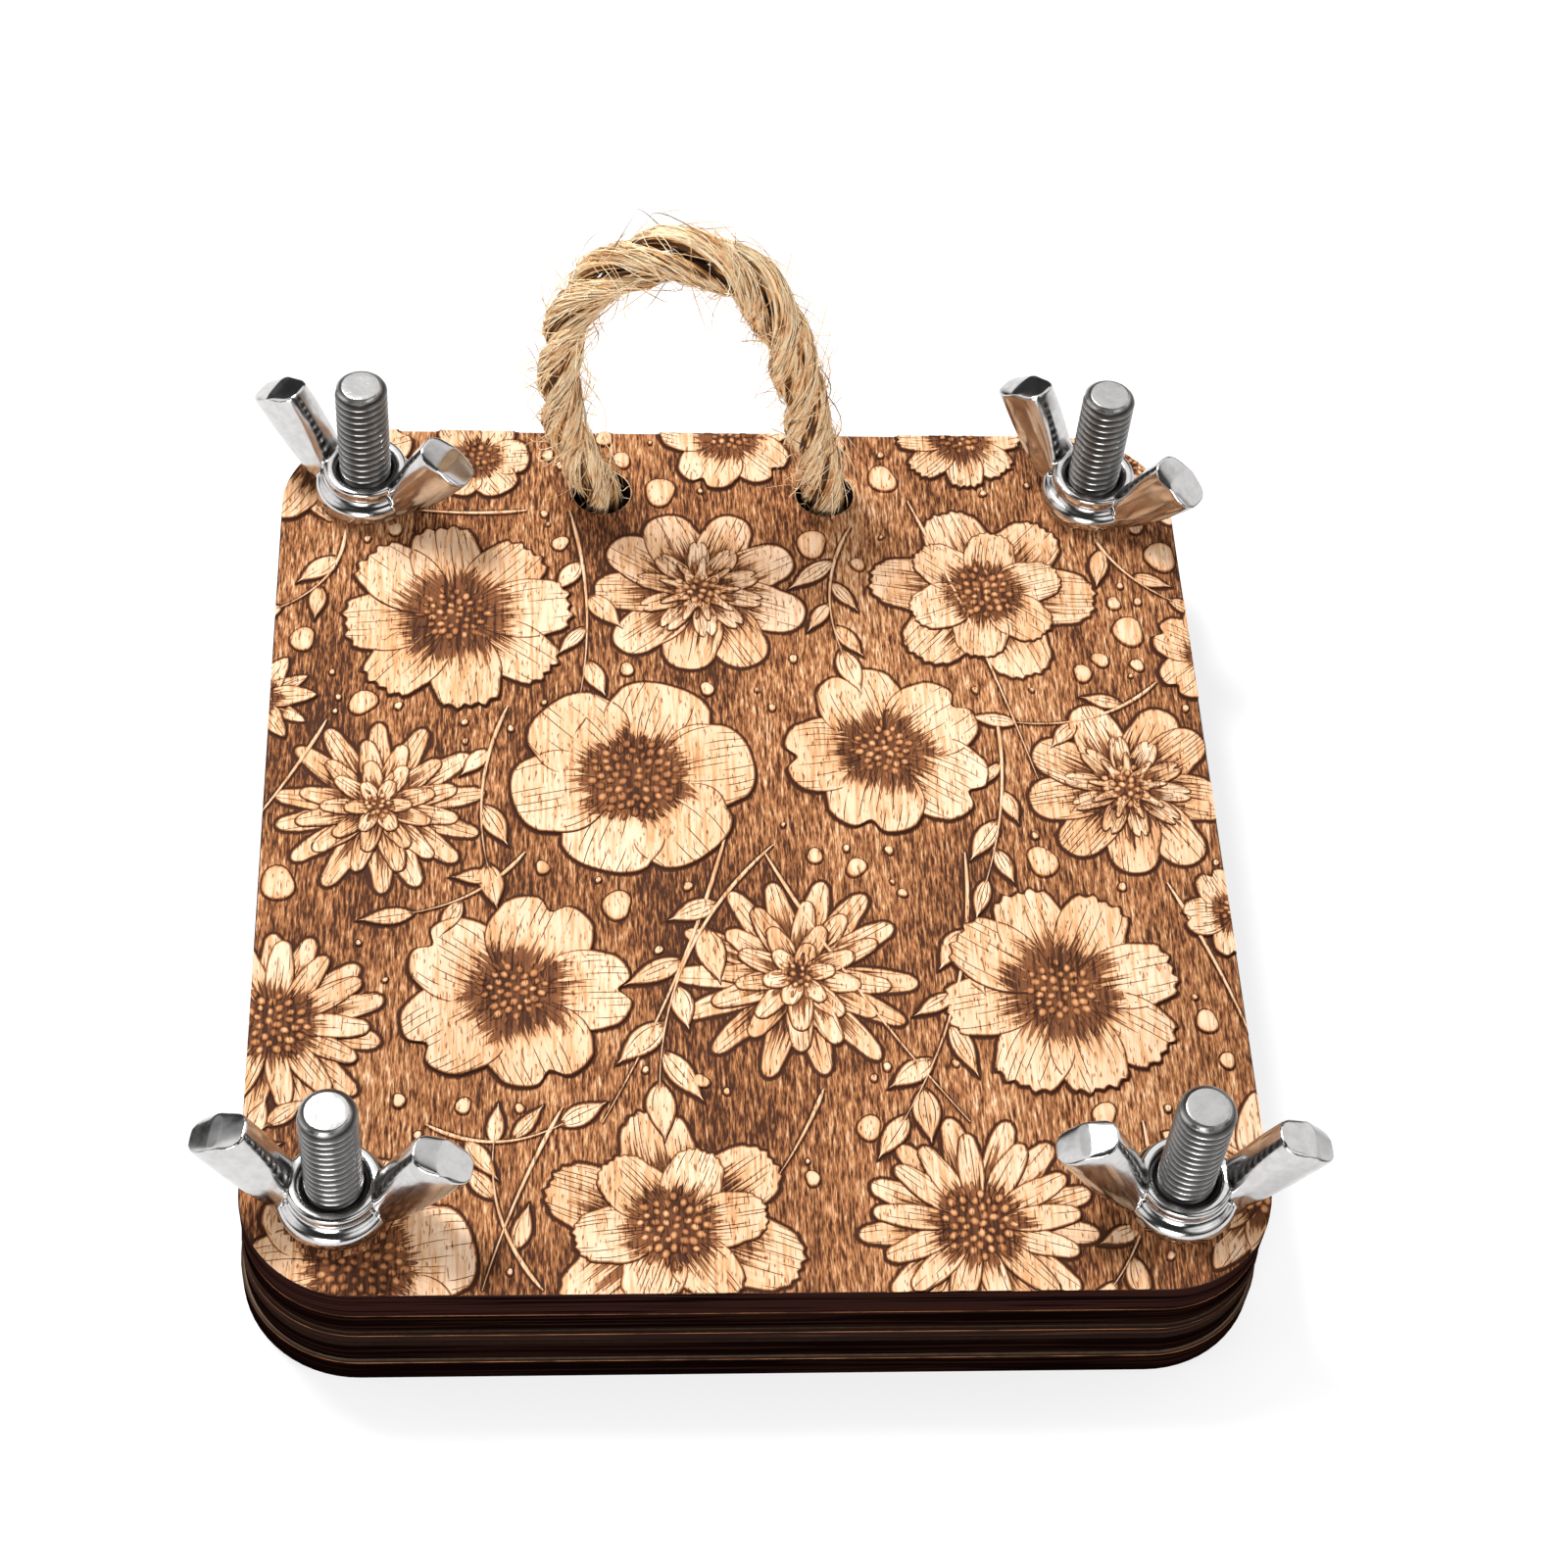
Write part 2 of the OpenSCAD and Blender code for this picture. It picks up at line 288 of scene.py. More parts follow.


# Jute: noise drawn out along the fibres, pale to brown, with painted shade in the furrows between the
# strands and in thin gaps between the fibres
def juteMaterial(name, paler):
    made, graph = newMaterial(name)
    uv = graph.add("UVMap", {"uv_map": "grain"})
    fine = graph.noise(uv, (5.5, 0.25, 1.0), 3.0, 0.6)
    broad = graph.noise(uv, (2.2, 0.12, 1.0), 2.0, 0.5, (7, 3, 0))
    # Painted shade in thin gaps between the fibres
    fibreGapShade = graph.span(graph.noise(uv, (8.0, 0.2, 1.0), 1.0, 0.5, (2, 9, 0)), 0.56, 0.68)
    # Painted shade: the furrow value darkens the jute between its strands
    tone = fine * jute["fine"] + broad * jute["broad"] - graph.attribute("furrowShade")
    tone = tone - fibreGapShade * jute["gapShade"] + paler
    stops = [(0.02, jute["dark"]), (0.3, jute["brown"]), (0.58, jute["straw"]), (0.88, jute["pale"])]
    graph.surface(graph.ramp(tone, stops), jute["rough"], tone, jute["relief"], {"Specular IOR Level": 0.25})
    return made


rope = {
    "route": [  # the rope's middle line from knot to knot, as in the part, in millimetres
        (-15.2, 48.1, 12.1), (-15.2, 48.1, 15), (-15.3, 48.1, 17), (-16.6, 48.1, 19.5), (-18.2, 48.2, 22.5),
        (-19.6, 48.4, 26.5), (-20.3, 48.6, 31), (-20.4, 48.9, 36), (-20.2, 49.2, 41),
        (-19, 49.5, 45.5), (-16.5, 49.8, 49.5), (-12.8, 50, 52.2), (-8, 50.1, 53.4),
        (-3.4, 50, 52.6), (0.4, 49.8, 50), (3.2, 49.6, 46), (5.2, 49.3, 41),
        (6.8, 49, 35.5), (8.1, 48.7, 29.5), (9.6, 48.4, 23.5), (10.6, 48.2, 20),
        (11.1, 48.1, 17), (11.2, 48.1, 15), (11.2, 48.1, 12.1),
    ],
    "diameter": 5.7,
    "step": 0.34,  # length of one row of faces
    "smoothing": 1.8,  # how far a corner of the route is rounded
    "lay": 27.0,  # length of one turn of the strands
    "strandRadius": 1.4,
    "strandOffset": 1.56,
    # share of the girth at ways along the rope
    "girths": [(0, 0.8), (8, 0.78), (36, 0.78), (46, 0.9), (60, 0.95), (74, 0.92), (88, 0.88), (98, 0.8)],
    "loosened": 0.28,  # how much further out the strands lie at the crown of the loop
    "crown": (7, 9),  # how far below the loop's top that goes, and their thinning there
    "waves": (3, 27),  # fewest waves round a strand, and the number that they stay below
    "mainWaves": (11, 8),  # the strongest number of waves, and how far its neighbours go with it
    "sway": (11, 0.16),  # length of the strands' slow twist to and fro, and how much
    "drift": (0.12, 0.5),  # a wave's own offset at most, and how far it wanders along the strand
    "wander": (0.1, 0.3),  # least and greatest speed of that, in radians for each millimetre
    "relief": 0.085,  # depth of the waves as a share of the radius
    "reliefEnds": (-0.2, 0.16),
    "furrowShade": (0.2, 0.7, 2.6),  # where the painted shade between strands starts and is full, and what the waves add
    "around": 60,
    "seed": 11,
}


# The route cut into even steps, its corners rounded by a weighted mean over the smoothing length
def smoothRoute(route, step, smoothing):
    points = np.array(route, float)
    lengths = np.concatenate([[0], np.cumsum(np.linalg.norm(np.diff(points, axis=0), axis=1))])
    along = np.linspace(0, lengths[-1], int(lengths[-1] / step) + 1)
    even = np.stack([np.interp(along, lengths, points[:, k]) for k in range(3)], 1)
    reach = int(3 * smoothing / step)
    weights = np.exp(-0.5 * (np.arange(-reach, reach + 1) * step / smoothing) ** 2)
    before = 2 * even[0] - even[reach:0:-1]
    after = 2 * even[-1] - even[-2:-reach - 2:-1]
    padded = np.concatenate([before, even, after])
    smooth = np.stack([np.convolve(padded[:, k], weights / weights.sum(), "valid") for k in range(3)], 1)
    return smooth, along


ropeLine, ropeAlong = smoothRoute(rope["route"], rope["step"], rope["smoothing"])


# Share of the full girth at each way along the rope
def ropeGirth(along):
    return np.interp(along, *zip(*rope["girths"]))


# Nearness to the top of a line, from 1 down: a bell of the height below it over the reach
def crownOf(line, reach):
    return np.exp(-((line[:, 2] - line[:, 2].max()) / reach) ** 2)


# Middle line of strand k: a helix round the rope's line, wider at the crown of the loop
def strandLine(k):
    ahead = unit(np.gradient(ropeLine, axis=0))
    back = np.array([0.0, 1.0, 0.0])
    across = unit(back - ahead * (ahead @ back)[:, None])
    up = np.cross(ahead, across)
    turn = fullTurn * (ropeAlong / rope["lay"] + k / 3)
    loose = rope["loosened"] * crownOf(ropeLine, rope["crown"][0]) * (1 + 0.5 * np.sin(turn * 0.5 + k))
    out = rope["strandOffset"] * (1 + loose) * ropeGirth(ropeAlong)
    outward = across * np.cos(turn)[:, None] + up * np.sin(turn)[:, None]
    return ropeLine + out[:, None] * outward, outward


# A strand's skin: radius times one plus many small waves round it, each drifting slowly along the strand
def strandSkin(line, outward, rng):
    ahead = unit(np.gradient(line, axis=0))
    outward = unit(outward - ahead * np.sum(outward * ahead, axis=1, keepdims=True))
    beside = np.cross(ahead, outward)
    along = ropeAlong[:, None]
    turn = turnsRound(rope["around"])
    main, spread = rope["mainWaves"]
    length, sway = rope["sway"]
    offset, far = rope["drift"]
    waviness = np.zeros((len(line), rope["around"]))
    for waves in range(*rope["waves"]):
        drift = rng.uniform(-offset, offset)
        drift = drift + far * np.sin(along * rng.uniform(*rope["wander"]) + rng.uniform(0, 6))
        phase = waves * turn + drift + rng.uniform(0, 6) + sway * waves * np.sin(along / length)
        waviness += rng.uniform(0.3, 1) * np.cos(phase) * math.exp(-((waves - main) / spread) ** 2)
    waviness *= rope["relief"] / waviness.std()
    girth = ropeGirth(ropeAlong) * (1 - 0.1 * crownOf(line, rope["crown"][1]))
    r = rope["strandRadius"] * girth[:, None] * (1 + np.clip(waviness, *rope["reliefEnds"]))
    start, full, share = rope["furrowShade"]
    # Painted shade towards the strand's inner side and in the hollows of its waves
    furrowShade = np.clip(fade((1 - np.cos(turn)) / 2, start, full) - share * waviness, 0, 1)
    spokes = outward[:, None] * np.cos(turn)[..., None] + beside[:, None] * (np.sin(turn) * 1.02)[..., None]
    uv = np.stack(np.broadcast_arrays(turn / fullTurn * 3 + np.sin(along / length) * sway, along), -1)
    return line[:, None] + r[..., None] * spokes, furrowShade, uv


# Thin tapering tubes with sides faces round them along n rows of points, closed at both ends
def thinTubes(lines, radii, sides=3):
    n, rows, _ = lines.shape
    ahead = unit(np.gradient(lines, axis=1))
    across = unit(np.cross(ahead, [0.31, 0.73, 0.61]))
    up = np.cross(ahead, across)
    turn = np.arange(sides) * 2 * math.pi / sides
    ring = across[:, :, None] * np.cos(turn)[:, None] + up[:, :, None] * np.sin(turn)[:, None]
    return lines[:, :, None] + ring * radii[:, :, None, None], tubeFaces(n, rows, sides)


hairs = {
    "lying": 900,
    "loose": 800,
    "thickness": 0.072,
    "rows": 9,
    "start": 4.5,  # least way from the rope's ends to where a fibre starts, and to where it may reach
    "reach": 3.5,
    "spread": 1.1,  # furthest turn round the strand from its outer side
    "lyingLength": (4, 10),
    "looseLength": (3.0, 1.5),  # shape and scale of a gamma distribution
    "lyingTurn": (0.25, 0.8, 0.2),  # share that crosses the strand, how far those turn, and the others
    "looseTurn": 0.9,
    "lyingLift": 0.28,
    "looseLift": (2.0, 0.8),
    "liftPower": 1.7,
    "curl": (0.9, 0.05),  # of loose and of lying fibres
    "seed": 23,
}


# Fibres that start on a strand and follow it; the loose ones lift away as a power of the way along them
def ropeHairs(strands, rng):
    lying, end = hairs["lying"], ropeAlong[-1]
    n = lying + hairs["loose"]
    loose = np.arange(n) >= lying
    which = rng.integers(0, 3, n)
    q = np.linspace(0, 1, hairs["rows"])[None, :]
    long = rng.gamma(*hairs["looseLength"], n)
    long = np.where(loose, long, rng.uniform(*hairs["lyingLength"], n))[:, None]
    start = rng.uniform(hairs["start"], end - hairs["start"], n)[:, None]
    way = start + long * (q - 0.5 * ~loose[:, None]) * rng.choice([-1, 1], n)[:, None]
    way = np.clip(way, hairs["reach"], end - hairs["reach"])
    crossing, wide, narrow = hairs["lyingTurn"]
    sweep = np.where(loose, hairs["looseTurn"], np.where(rng.uniform(0, 1, n) < crossing, wide, narrow))
    turn = rng.uniform(-hairs["spread"], hairs["spread"], n)[:, None] + rng.normal(0, sweep)[:, None] * q
    lift = np.where(loose, rng.gamma(*hairs["looseLift"], n), 0)[:, None] * q ** hairs["liftPower"]
    lift = lift + np.where(loose, 0, rng.uniform(0.0, hairs["lyingLift"], n))[:, None] * np.sin(math.pi * q)
    out = rope["strandRadius"] * ropeGirth(way) * 1.01 + 0.04 + lift
    points = np.zeros((n, hairs["rows"], 3))
    for k, (line, outward) in enumerate(strands):
        beside = np.cross(unit(np.gradient(line, axis=0)), outward)
        mine = which == k
        foot, away, side = (np.stack([np.interp(way[mine], ropeAlong, a[:, c]) for c in range(3)], -1)
                            for a in (line, outward, beside))
        cosines, sines = np.cos(turn[mine])[..., None], np.sin(turn[mine])[..., None] * 1.12
        points[mine] = foot + out[mine][..., None] * (away * cosines + side * sines)
    curl = rng.normal(0, 1, (n, 1, 3)) * np.where(loose, *hairs["curl"])[:, None, None]
    points += curl * (np.sin(q * rng.uniform(1.5, 4, n)[:, None]) * q)[..., None]
    radii = hairs["thickness"] * rng.uniform(0.5, 1.15, n)[:, None] * (1 - 0.75 * q ** 3)
    shade = np.broadcast_to(rng.uniform(0, 1, n)[:, None, None], (n, hairs["rows"], 3))
    uv = np.stack([shade * 40, np.broadcast_to((q * long)[..., None], shade.shape)], -1)
    return points, radii, uv


juteSkin = juteMaterial("jute_rope", jute["skin"])
juteHair = juteMaterial("jute_fibres", jute["hair"])


# The rope: three strands wound round its line, and the fibres that lie on them and stand off
def makeRope():
    rng = np.random.default_rng(rope["seed"])
    strands = [strandLine(k) for k in range(3)]
    skins, furrowShades, uvs = (np.stack(part) for part in zip(*[strandSkin(*strand, rng) for strand in strands]))
    made = makePiece("rope_loop", skins, tubeFaces(3, len(ropeLine), rope["around"]), [juteSkin],
                     {"furrowShade": furrowShades}, uvs, closed=True, sharp=180)
    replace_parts(made, "rope")
    lines, radii, uv = ropeHairs(strands, np.random.default_rng(hairs["seed"]))
    points, faces = thinTubes(lines, radii)
    values = {"furrowShade": np.zeros(points.shape[:3])}
    fluff = makePiece("rope_fibres", points, faces, [juteHair], values, uv, sharp=180)
    return made, fluff


knot = {
    "middle": 1.02,  # size of the trefoil's loops
    "rise": 2.1,
    "radius": 1.95,
    "lobes": 0.14,  # depth of the furrows between the rope's strands, as a share of its radius
    "around": 30,
    "rows": 150,
}


# A stopper knot: a tube with three turning lobes along a trefoil, which is
# (sin t + 2 sin 2t, cos t - 2 cos 2t, -sin 3t)
def makeKnot(name, place):
    low, high = cornersOf(name)
    t = np.linspace(0, fullTurn, knot["rows"], endpoint=False)
    line = np.stack([knot["middle"] * (np.sin(t) + 2 * np.sin(2 * t)),
                     knot["middle"] * (np.cos(t) - 2 * np.cos(2 * t)), -knot["rise"] * np.sin(3 * t)], 1)
    ahead = unit(np.roll(line, -1, 0) - np.roll(line, 1, 0))
    across = unit(np.cross(ahead, [0, 0, 1.0]))
    up = np.cross(ahead, across)
    turn = turnsRound(knot["around"])
    lobes = np.abs(np.cos(1.5 * (turn - 2 * t[:, None])))
    r = knot["radius"] * (1 - knot["lobes"] + knot["lobes"] * lobes)
    ring = across[:, None] * np.cos(turn)[..., None] + up[:, None] * np.sin(turn)[..., None]
    skin = line[:, None] + r[..., None] * ring + np.array([*place, (low[2] + high[2]) / 2])
    skin[..., 2] = np.clip(skin[..., 2], low[2], high[2])
    uv = np.stack(np.broadcast_arrays(turn / 2, t[:, None] * 4), -1)
    faces = tubeFaces(1, knot["rows"], knot["around"], True)
    # Painted shade in the furrows between the knot's lobes
    made = makePiece(name.replace("rope_knot", "stopper_knot"), skin, faces, [juteSkin],
                     {"furrowShade": 1 - lobes}, uv, closed=True, sharp=180)
    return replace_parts(made, name)


ropePiece, ropeFluff = makeRope()
knots = [makeKnot("rope_knot_left", ropeHolePlaces[0]), makeKnot("rope_knot_right", ropeHolePlaces[1])]
for piece in (ropePiece, ropeFluff, *knots):
    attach(piece, "top_board")
ropeHolePlaces[0][0] * mm
ropeHolePlaces[0][1] * mm

wood = {
    "pale": (0.93, 0.675, 0.475),
    "tan": (0.74, 0.405, 0.2),
    "umber": (0.47, 0.195, 0.076),
    "brown": (0.24, 0.088, 0.033),
    "burnt": (0.055, 0.018, 0.008),
    "char": (0.004, 0.0018, 0.0018),
    "edgeBrown": (0.026, 0.0095, 0.0075),
    # colour of the painted highlight lines on the sheets' edges
    "edgeHighlight": (0.5, 0.21, 0.09),
    "birch": (0.79, 0.6, 0.41),
    "faceRough": 0.66,
    "edgeRough": 0.8,
    "faceRelief": 0.00022,  # metres
    "edgeRelief": 0.00008,
    "darker": 0.72,  # colour of the darkest grain, as a share of the face's
}
burnStops = [(k / 4, wood[tone]) for k, tone in enumerate(("pale", "tan", "umber", "brown", "burnt"))]


# Burnt ground: dense streaks of a noise drawn out along the board, over wide patches of umber and orange
def groundLevel(graph, place):
    streaks = graph.noise(place, (3500, 430, 400), 2.0, 0.62)
    fine = graph.noise(place, (6500, 1100, 400), 1.0, 0.5, (3, 5, 1))
    patches = graph.noise(place, (160, 60, 100))
    zones = graph.noise(place, (34, 26, 30), 1.0, 0.5, (2, 8, 4))
    return streaks * 2.1 - 1.66 + fine + patches * 0.8 + zones * 0.7


# Raised wood: strokes of burn where a noise drawn out along the petal is below the shade, and short
# dark pores
def petalLevel(graph, place, uv, shade):
    stroke = graph.span(shade * 0.64 + 0.12 - graph.noise(uv, (5.5, 0.14, 1.0), 1.0), -0.05, 0.07)
    pores = graph.span(graph.noise(place, (5600, 1000, 400), 0.0, 0.5, (1, 2, 3)), 0.66, 0.8)
    cloud = graph.span(graph.noise(place, (260, 130, 260)), 0.35, 0.75)
    grain = graph.span(graph.noise(place, (2600, 200, 400), 2.0, 0.5, (4, 1, 2)), 0.42, 0.75)
    return shade * 0.24 + stroke * 0.5 + pores * 0.42 + grain * 0.26 + cloud * 0.1


# The engraved face: from the ground's burn to the petal's by the raised value, plus the burn of lines
# and outlines
def engravedMaterial():
    made, graph = newMaterial("engraved_ply")
    place = graph.add("TexCoord", output="Object")
    petal = petalLevel(graph, place, graph.add("UVMap", {"uv_map": "grain"}), graph.attribute("shade"))
    ground = groundLevel(graph, place)
    level = graph.mixValue(graph.attribute("raised"), ground, petal) + graph.attribute("burn")
    level = graph.add("Clamp", {}, {0: level})
    graph.surface(graph.ramp(level, burnStops), wood["faceRough"], level * -1.0, wood["faceRelief"],
                 {"Specular IOR Level": 0.12})
    return made


# A laser-cut sheet: charred edge with fine level lines and painted highlights, brighter lines where its
# edges catch the light, at given heights, and a pale face scorched close to its outline, which is half its
# width, half its depth and its corner radius
def sheetMaterial(name, face, edge, line, grain, scorch=1.4, outline=(*boardHalf, 12), paintedHighlights=()):
    made, graph = newMaterial(name)
    place = graph.add("TexCoord", output="Object")
    upward = graph.add("SeparateXYZ", {}, {0: graph.add("TexCoord", output="Normal")}, 2)
    flat = graph.span(graph.math("ABSOLUTE", upward), 0.6, 0.8)
    halfWide, halfDeep, corner = outline
    inner = ((halfWide - corner) * mm, (halfDeep - corner) * mm, 1.0)
    past = graph.vector("SUBTRACT", graph.vector("ABSOLUTE", place), inner)
    reach = graph.vector("LENGTH", graph.vector("MAXIMUM", past, (0, 0, 0)), output="Value")
    burn = graph.span(reach, (corner - scorch) * mm, corner * mm)
    fibres = graph.noise(place, grain, 3.0, 0.55)
    darkFace = [c * wood["darker"] for c in face]
    paleFace = graph.mixColour(graph.span(fibres, 0.3, 0.75), (*face, 1), (*darkFace, 1))
    paleFace = graph.mixColour(burn * 0.97, paleFace, (*wood["edgeBrown"], 1))
    level = graph.add("Mapping", {}, {"Vector": place, "Scale": (45, 45, 3000)})
    level = graph.add("TexNoise", {}, {"Vector": level, "Scale": 1.0, "Detail": 2.0})
    dark = graph.mixColour(graph.span(level, 0.5, 0.62), (*edge, 1), (*line, 1))
    height = graph.add("SeparateXYZ", {}, {0: place}, 2)
    broken = graph.span(graph.noise(place, (160, 160, 160), 3.0, 0.6), 0.35, 0.6, 0.25, 1.0)
    # Painted highlights: brighter lines at the given heights where the edges catch the light, broken up by
    # noise
    for z, wide in paintedHighlights:
        near = graph.math("ABSOLUTE", height - z * mm)
        near = graph.span(near, wide * mm * 0.4, wide * mm, 1.0, 0.0) * broken
        dark = graph.mixColour(near, dark, (*wood["edgeHighlight"], 1))
    colour = graph.mixColour(flat, dark, paleFace)
    graph.surface(colour, wood["edgeRough"], fibres * 0.4 + level, wood["edgeRelief"],
                 {"Specular IOR Level": 0.0})
    return made


plyGrain = (900, 60, 300)
engravedWood = engravedMaterial()
# The board's edge gets a painted highlight line at the given height
charEdge = sheetMaterial("board_edge", wood["birch"], wood["edgeBrown"], wood["char"], plyGrain,
                         paintedHighlights=[(12.45, 0.06)])

topBoard = {
    "cornerRadius": 12,
    "engraved": 0.34,  # depth of the burnt ground below the face
    "cell": 0.7,  # size of the grid's faces
    "rounding": 0.12,  # how far the upper and lower rims are rounded
    "wallRows": 13,
    "plies": [0.34, 0.66],  # heights of the glue lines, as shares of the board
    "plyDepth": 0.05,
    "plyWide": 0.01,  # half width of a glue line's groove, and the rows beside it, as shares of the board
    "plyRows": 0.012,
    "boltHole": 3.3,
    "ropeHole": 3.4,
    "seat": 6.3,  # radius of the face that is left whole under a nut
    "seatSlope": 0.5,
}
holes = [(*boltPlaces[name], topBoard["boltHole"]) for name in nutNames]
holes += [(*place, topBoard["ropeHole"]) for place in ropeHolePlaces]
groundHeight = boardHigh[2] - topBoard["engraved"]


# Keeps points on the board: past its outline or in a hole they move to the nearest place on that line.
# Gives the places, which of them moved, and the outward direction there
def trimToBoard(xy, rim=0.0, snap=0.0):
    radius = topBoard["cornerRadius"]
    inner = boardHalf - radius
    away = xy - np.clip(xy, -inner, inner)
    reach = size(away)
    over = reach > radius - rim - snap
    outward = np.where(over, away / np.maximum(reach, 1e-9), 0)
    placed = np.where(over, np.clip(xy, -inner, inner) + outward * (radius - rim), xy)
    for x, y, hole in holes:
        apart = placed - (x, y)
        reach = size(apart)
        inside = reach < hole + rim + snap
        placed = np.where(inside, (x, y) + apart / np.maximum(reach, 1e-9) * (hole + rim), placed)
        outward = np.where(inside, -apart / np.maximum(reach, 1e-9), outward)
        over |= inside
    return placed, over[..., 0], outward


# Top board: a grid of points trimmed to the outline and the holes, its twin below, and walls between
# their free edges
def makeTopBoard():
    cell, rounding, plies = topBoard["cell"], topBoard["rounding"], topBoard["plies"]
    nx, ny = (int(2 * half / cell) + 1 for half in boardHalf)
    x, y = np.meshgrid(*(np.linspace(-half, half, steps) for half, steps in zip(boardHalf, (nx, ny))))
    xy, moved, outward = trimToBoard(np.stack([x, y], -1), rounding, cell * 0.3)
    quads = gridFaces(1, ny, nx)
    moved, xy, outward = moved.ravel(), xy.reshape(-1, 2), outward.reshape(-1, 2)
    quads = quads[~moved[quads].all(1)]
    used, quads = np.unique(quads, return_inverse=True)
    quads, xy, outward = quads.reshape(-1, 4), xy[used], outward[used]
    count = len(xy)
    seat = np.min([np.hypot(*(xy - place).T) for place in boltPlaces.values()], axis=0)
    ground = 1 - fade(seat, topBoard["seat"] - topBoard["seatSlope"], topBoard["seat"])
    top = groundHeight + (topBoard["engraved"] - 0.02) * ground
    # Edges that only one face has run round the outline and the holes
    edges = np.stack([quads, np.roll(quads, -1, 1)], -1).reshape(-1, 2)
    key = edges.min(1) * count + edges.max(1)
    _, first, times = np.unique(key, return_index=True, return_counts=True)
    free = edges[first[times == 1]]
    rim = np.unique(free)
    place = np.full(count, -1)
    place[rim] = np.arange(len(rim))
    thick = top[rim] - boardLow[2] - 2 * rounding
    beside = [[p - topBoard["plyRows"], p, p + topBoard["plyRows"]] for p in plies]
    shares = np.sort(np.concatenate([np.linspace(0, 1, topBoard["wallRows"])] + beside))
    bells = [np.exp(-((shares - p) / topBoard["plyWide"]) ** 2) for p in plies]
    groove = np.max(bells, axis=0) * topBoard["plyDepth"]
    wallXY = xy[rim][None] + outward[rim][None] * (rounding - groove)[:, None, None]
    wallZ = boardLow[2] + rounding + shares[:, None] * thick[None]
    walls = np.concatenate([wallXY, wallZ[..., None]], -1)[::-1]
    low = np.full(count, boardLow[2])
    points = np.concatenate([np.column_stack([xy, top]), np.column_stack([xy, low]), walls.reshape(-1, 3)])
    rows = [free, *[2 * count + k * len(rim) + place[free] for k in range(len(shares))], count + free]
    strips = [np.column_stack([a[:, 1], a[:, 0], b[:, 0], b[:, 1]]) for a, b in zip(rows, rows[1:])]
    sides = np.concatenate(strips)
    slots = np.repeat([0, 1, 1], [len(quads), len(quads), len(sides)])
    faces = [quads, quads[:, ::-1] + count, sides]
    made = makePiece("engraved_board", points, faces, [engravedWood, charEdge], slots=slots, closed=True,
                     sharp=50)
    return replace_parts(made, "top_board")


boardPiece = makeTopBoard()
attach(boardPiece, "top_board")
print("top board and its burnt ground")

relief = {
    "wall": 0.1,  # run of the sloping side of a petal
    "rim": 0.22,  # width of the darker rim on top
    "burntShadowHalo": 0.3,  # how far the burn and painted shadow run out over the ground
    "outlineBurnAndShadow": 0.85,
    "lift": 0.014,  # height of that strip of burn and painted shadow over the ground
    "groove": 0.1,  # depth of an engraved line
    "grooveWide": 0.15,
    "grooveBurn": 0.62,
    "tilt": 0.05,  # how much one side of a petal lies above the other
    "sink": 0.13,  # how much deeper a petal's root is burnt than its tip
    "steps": [0, 0.075, 0.038],  # drops of neighbouring petals, so that one lies over the next
    "bend": 0.03,  # sideways bend of a petal, as a share of its length
    "fromRoot": 0.65,  # share of the engraved lines that start at the root, and where they end
    "rootEnds": (0.35, 0.97),
    "tipEnds": (0.5, 0.85),  # where the others end that start at the tip
    "tone": (-0.02, 0.09),
    "shading": (0.7, 1.25),  # least and greatest reach of the burn along a petal, by its form's
    "rows": [0, 0.06, 0.12, 0.19, 0.27, 0.36, 0.46, 0.56, 0.66, 0.76, 0.85, 0.92, 0.97, 1],
    "grain": 90,  # furthest shift of the grain from one petal to the next
    "seed": 5,
}

# tip: share of the length that the rounded end takes; bow and blunt: its curve; notch, scallop and teeth:
# what is cut into it; neck: width at the root; swell and lean: how the sides bulge; lines: engraved lines;
# shade: reach of the burn
petalColumns = "tip bow blunt notch scallop teeth neck swell lean lines shade".split()
petalForms = {
    "heart": (0.32, 2.2, 2, 0.15, 0, 2, 0.3, 0.5, 0.8, 12, 0.5),
    "round": (0.34, 2.4, 2, 0, 0, 2, 0.2, 0.56, 0.75, 11, 0.42),
    "tongue": (0.24, 2, 2, 0, 0, 2, 0.3, 0.6, 0.8, 4, 0.6),
    "spear": (0.42, 1.5, 1.2, 0, 0, 2, 0.26, 0.62, 0.75, 7, 0.55),
    "ruffle": (0.26, 2.4, 2, 0.03, 0.025, 5, 0.28, 0.52, 0.8, 9, 0.62),
    "fan": (0.36, 2, 2, 0.03, 0.014, 7, 0.3, 0.52, 0.72, 14, 0.66),
    "bud": (0.5, 2.2, 2, 0, 0, 2, 0.5, 0.6, 0.7, 5, 0.5),
    "leaf": (0.1, 1.2, 1, 0, 0, 2, 0.03, 0.95, 0.85, 3, 0.22),
}
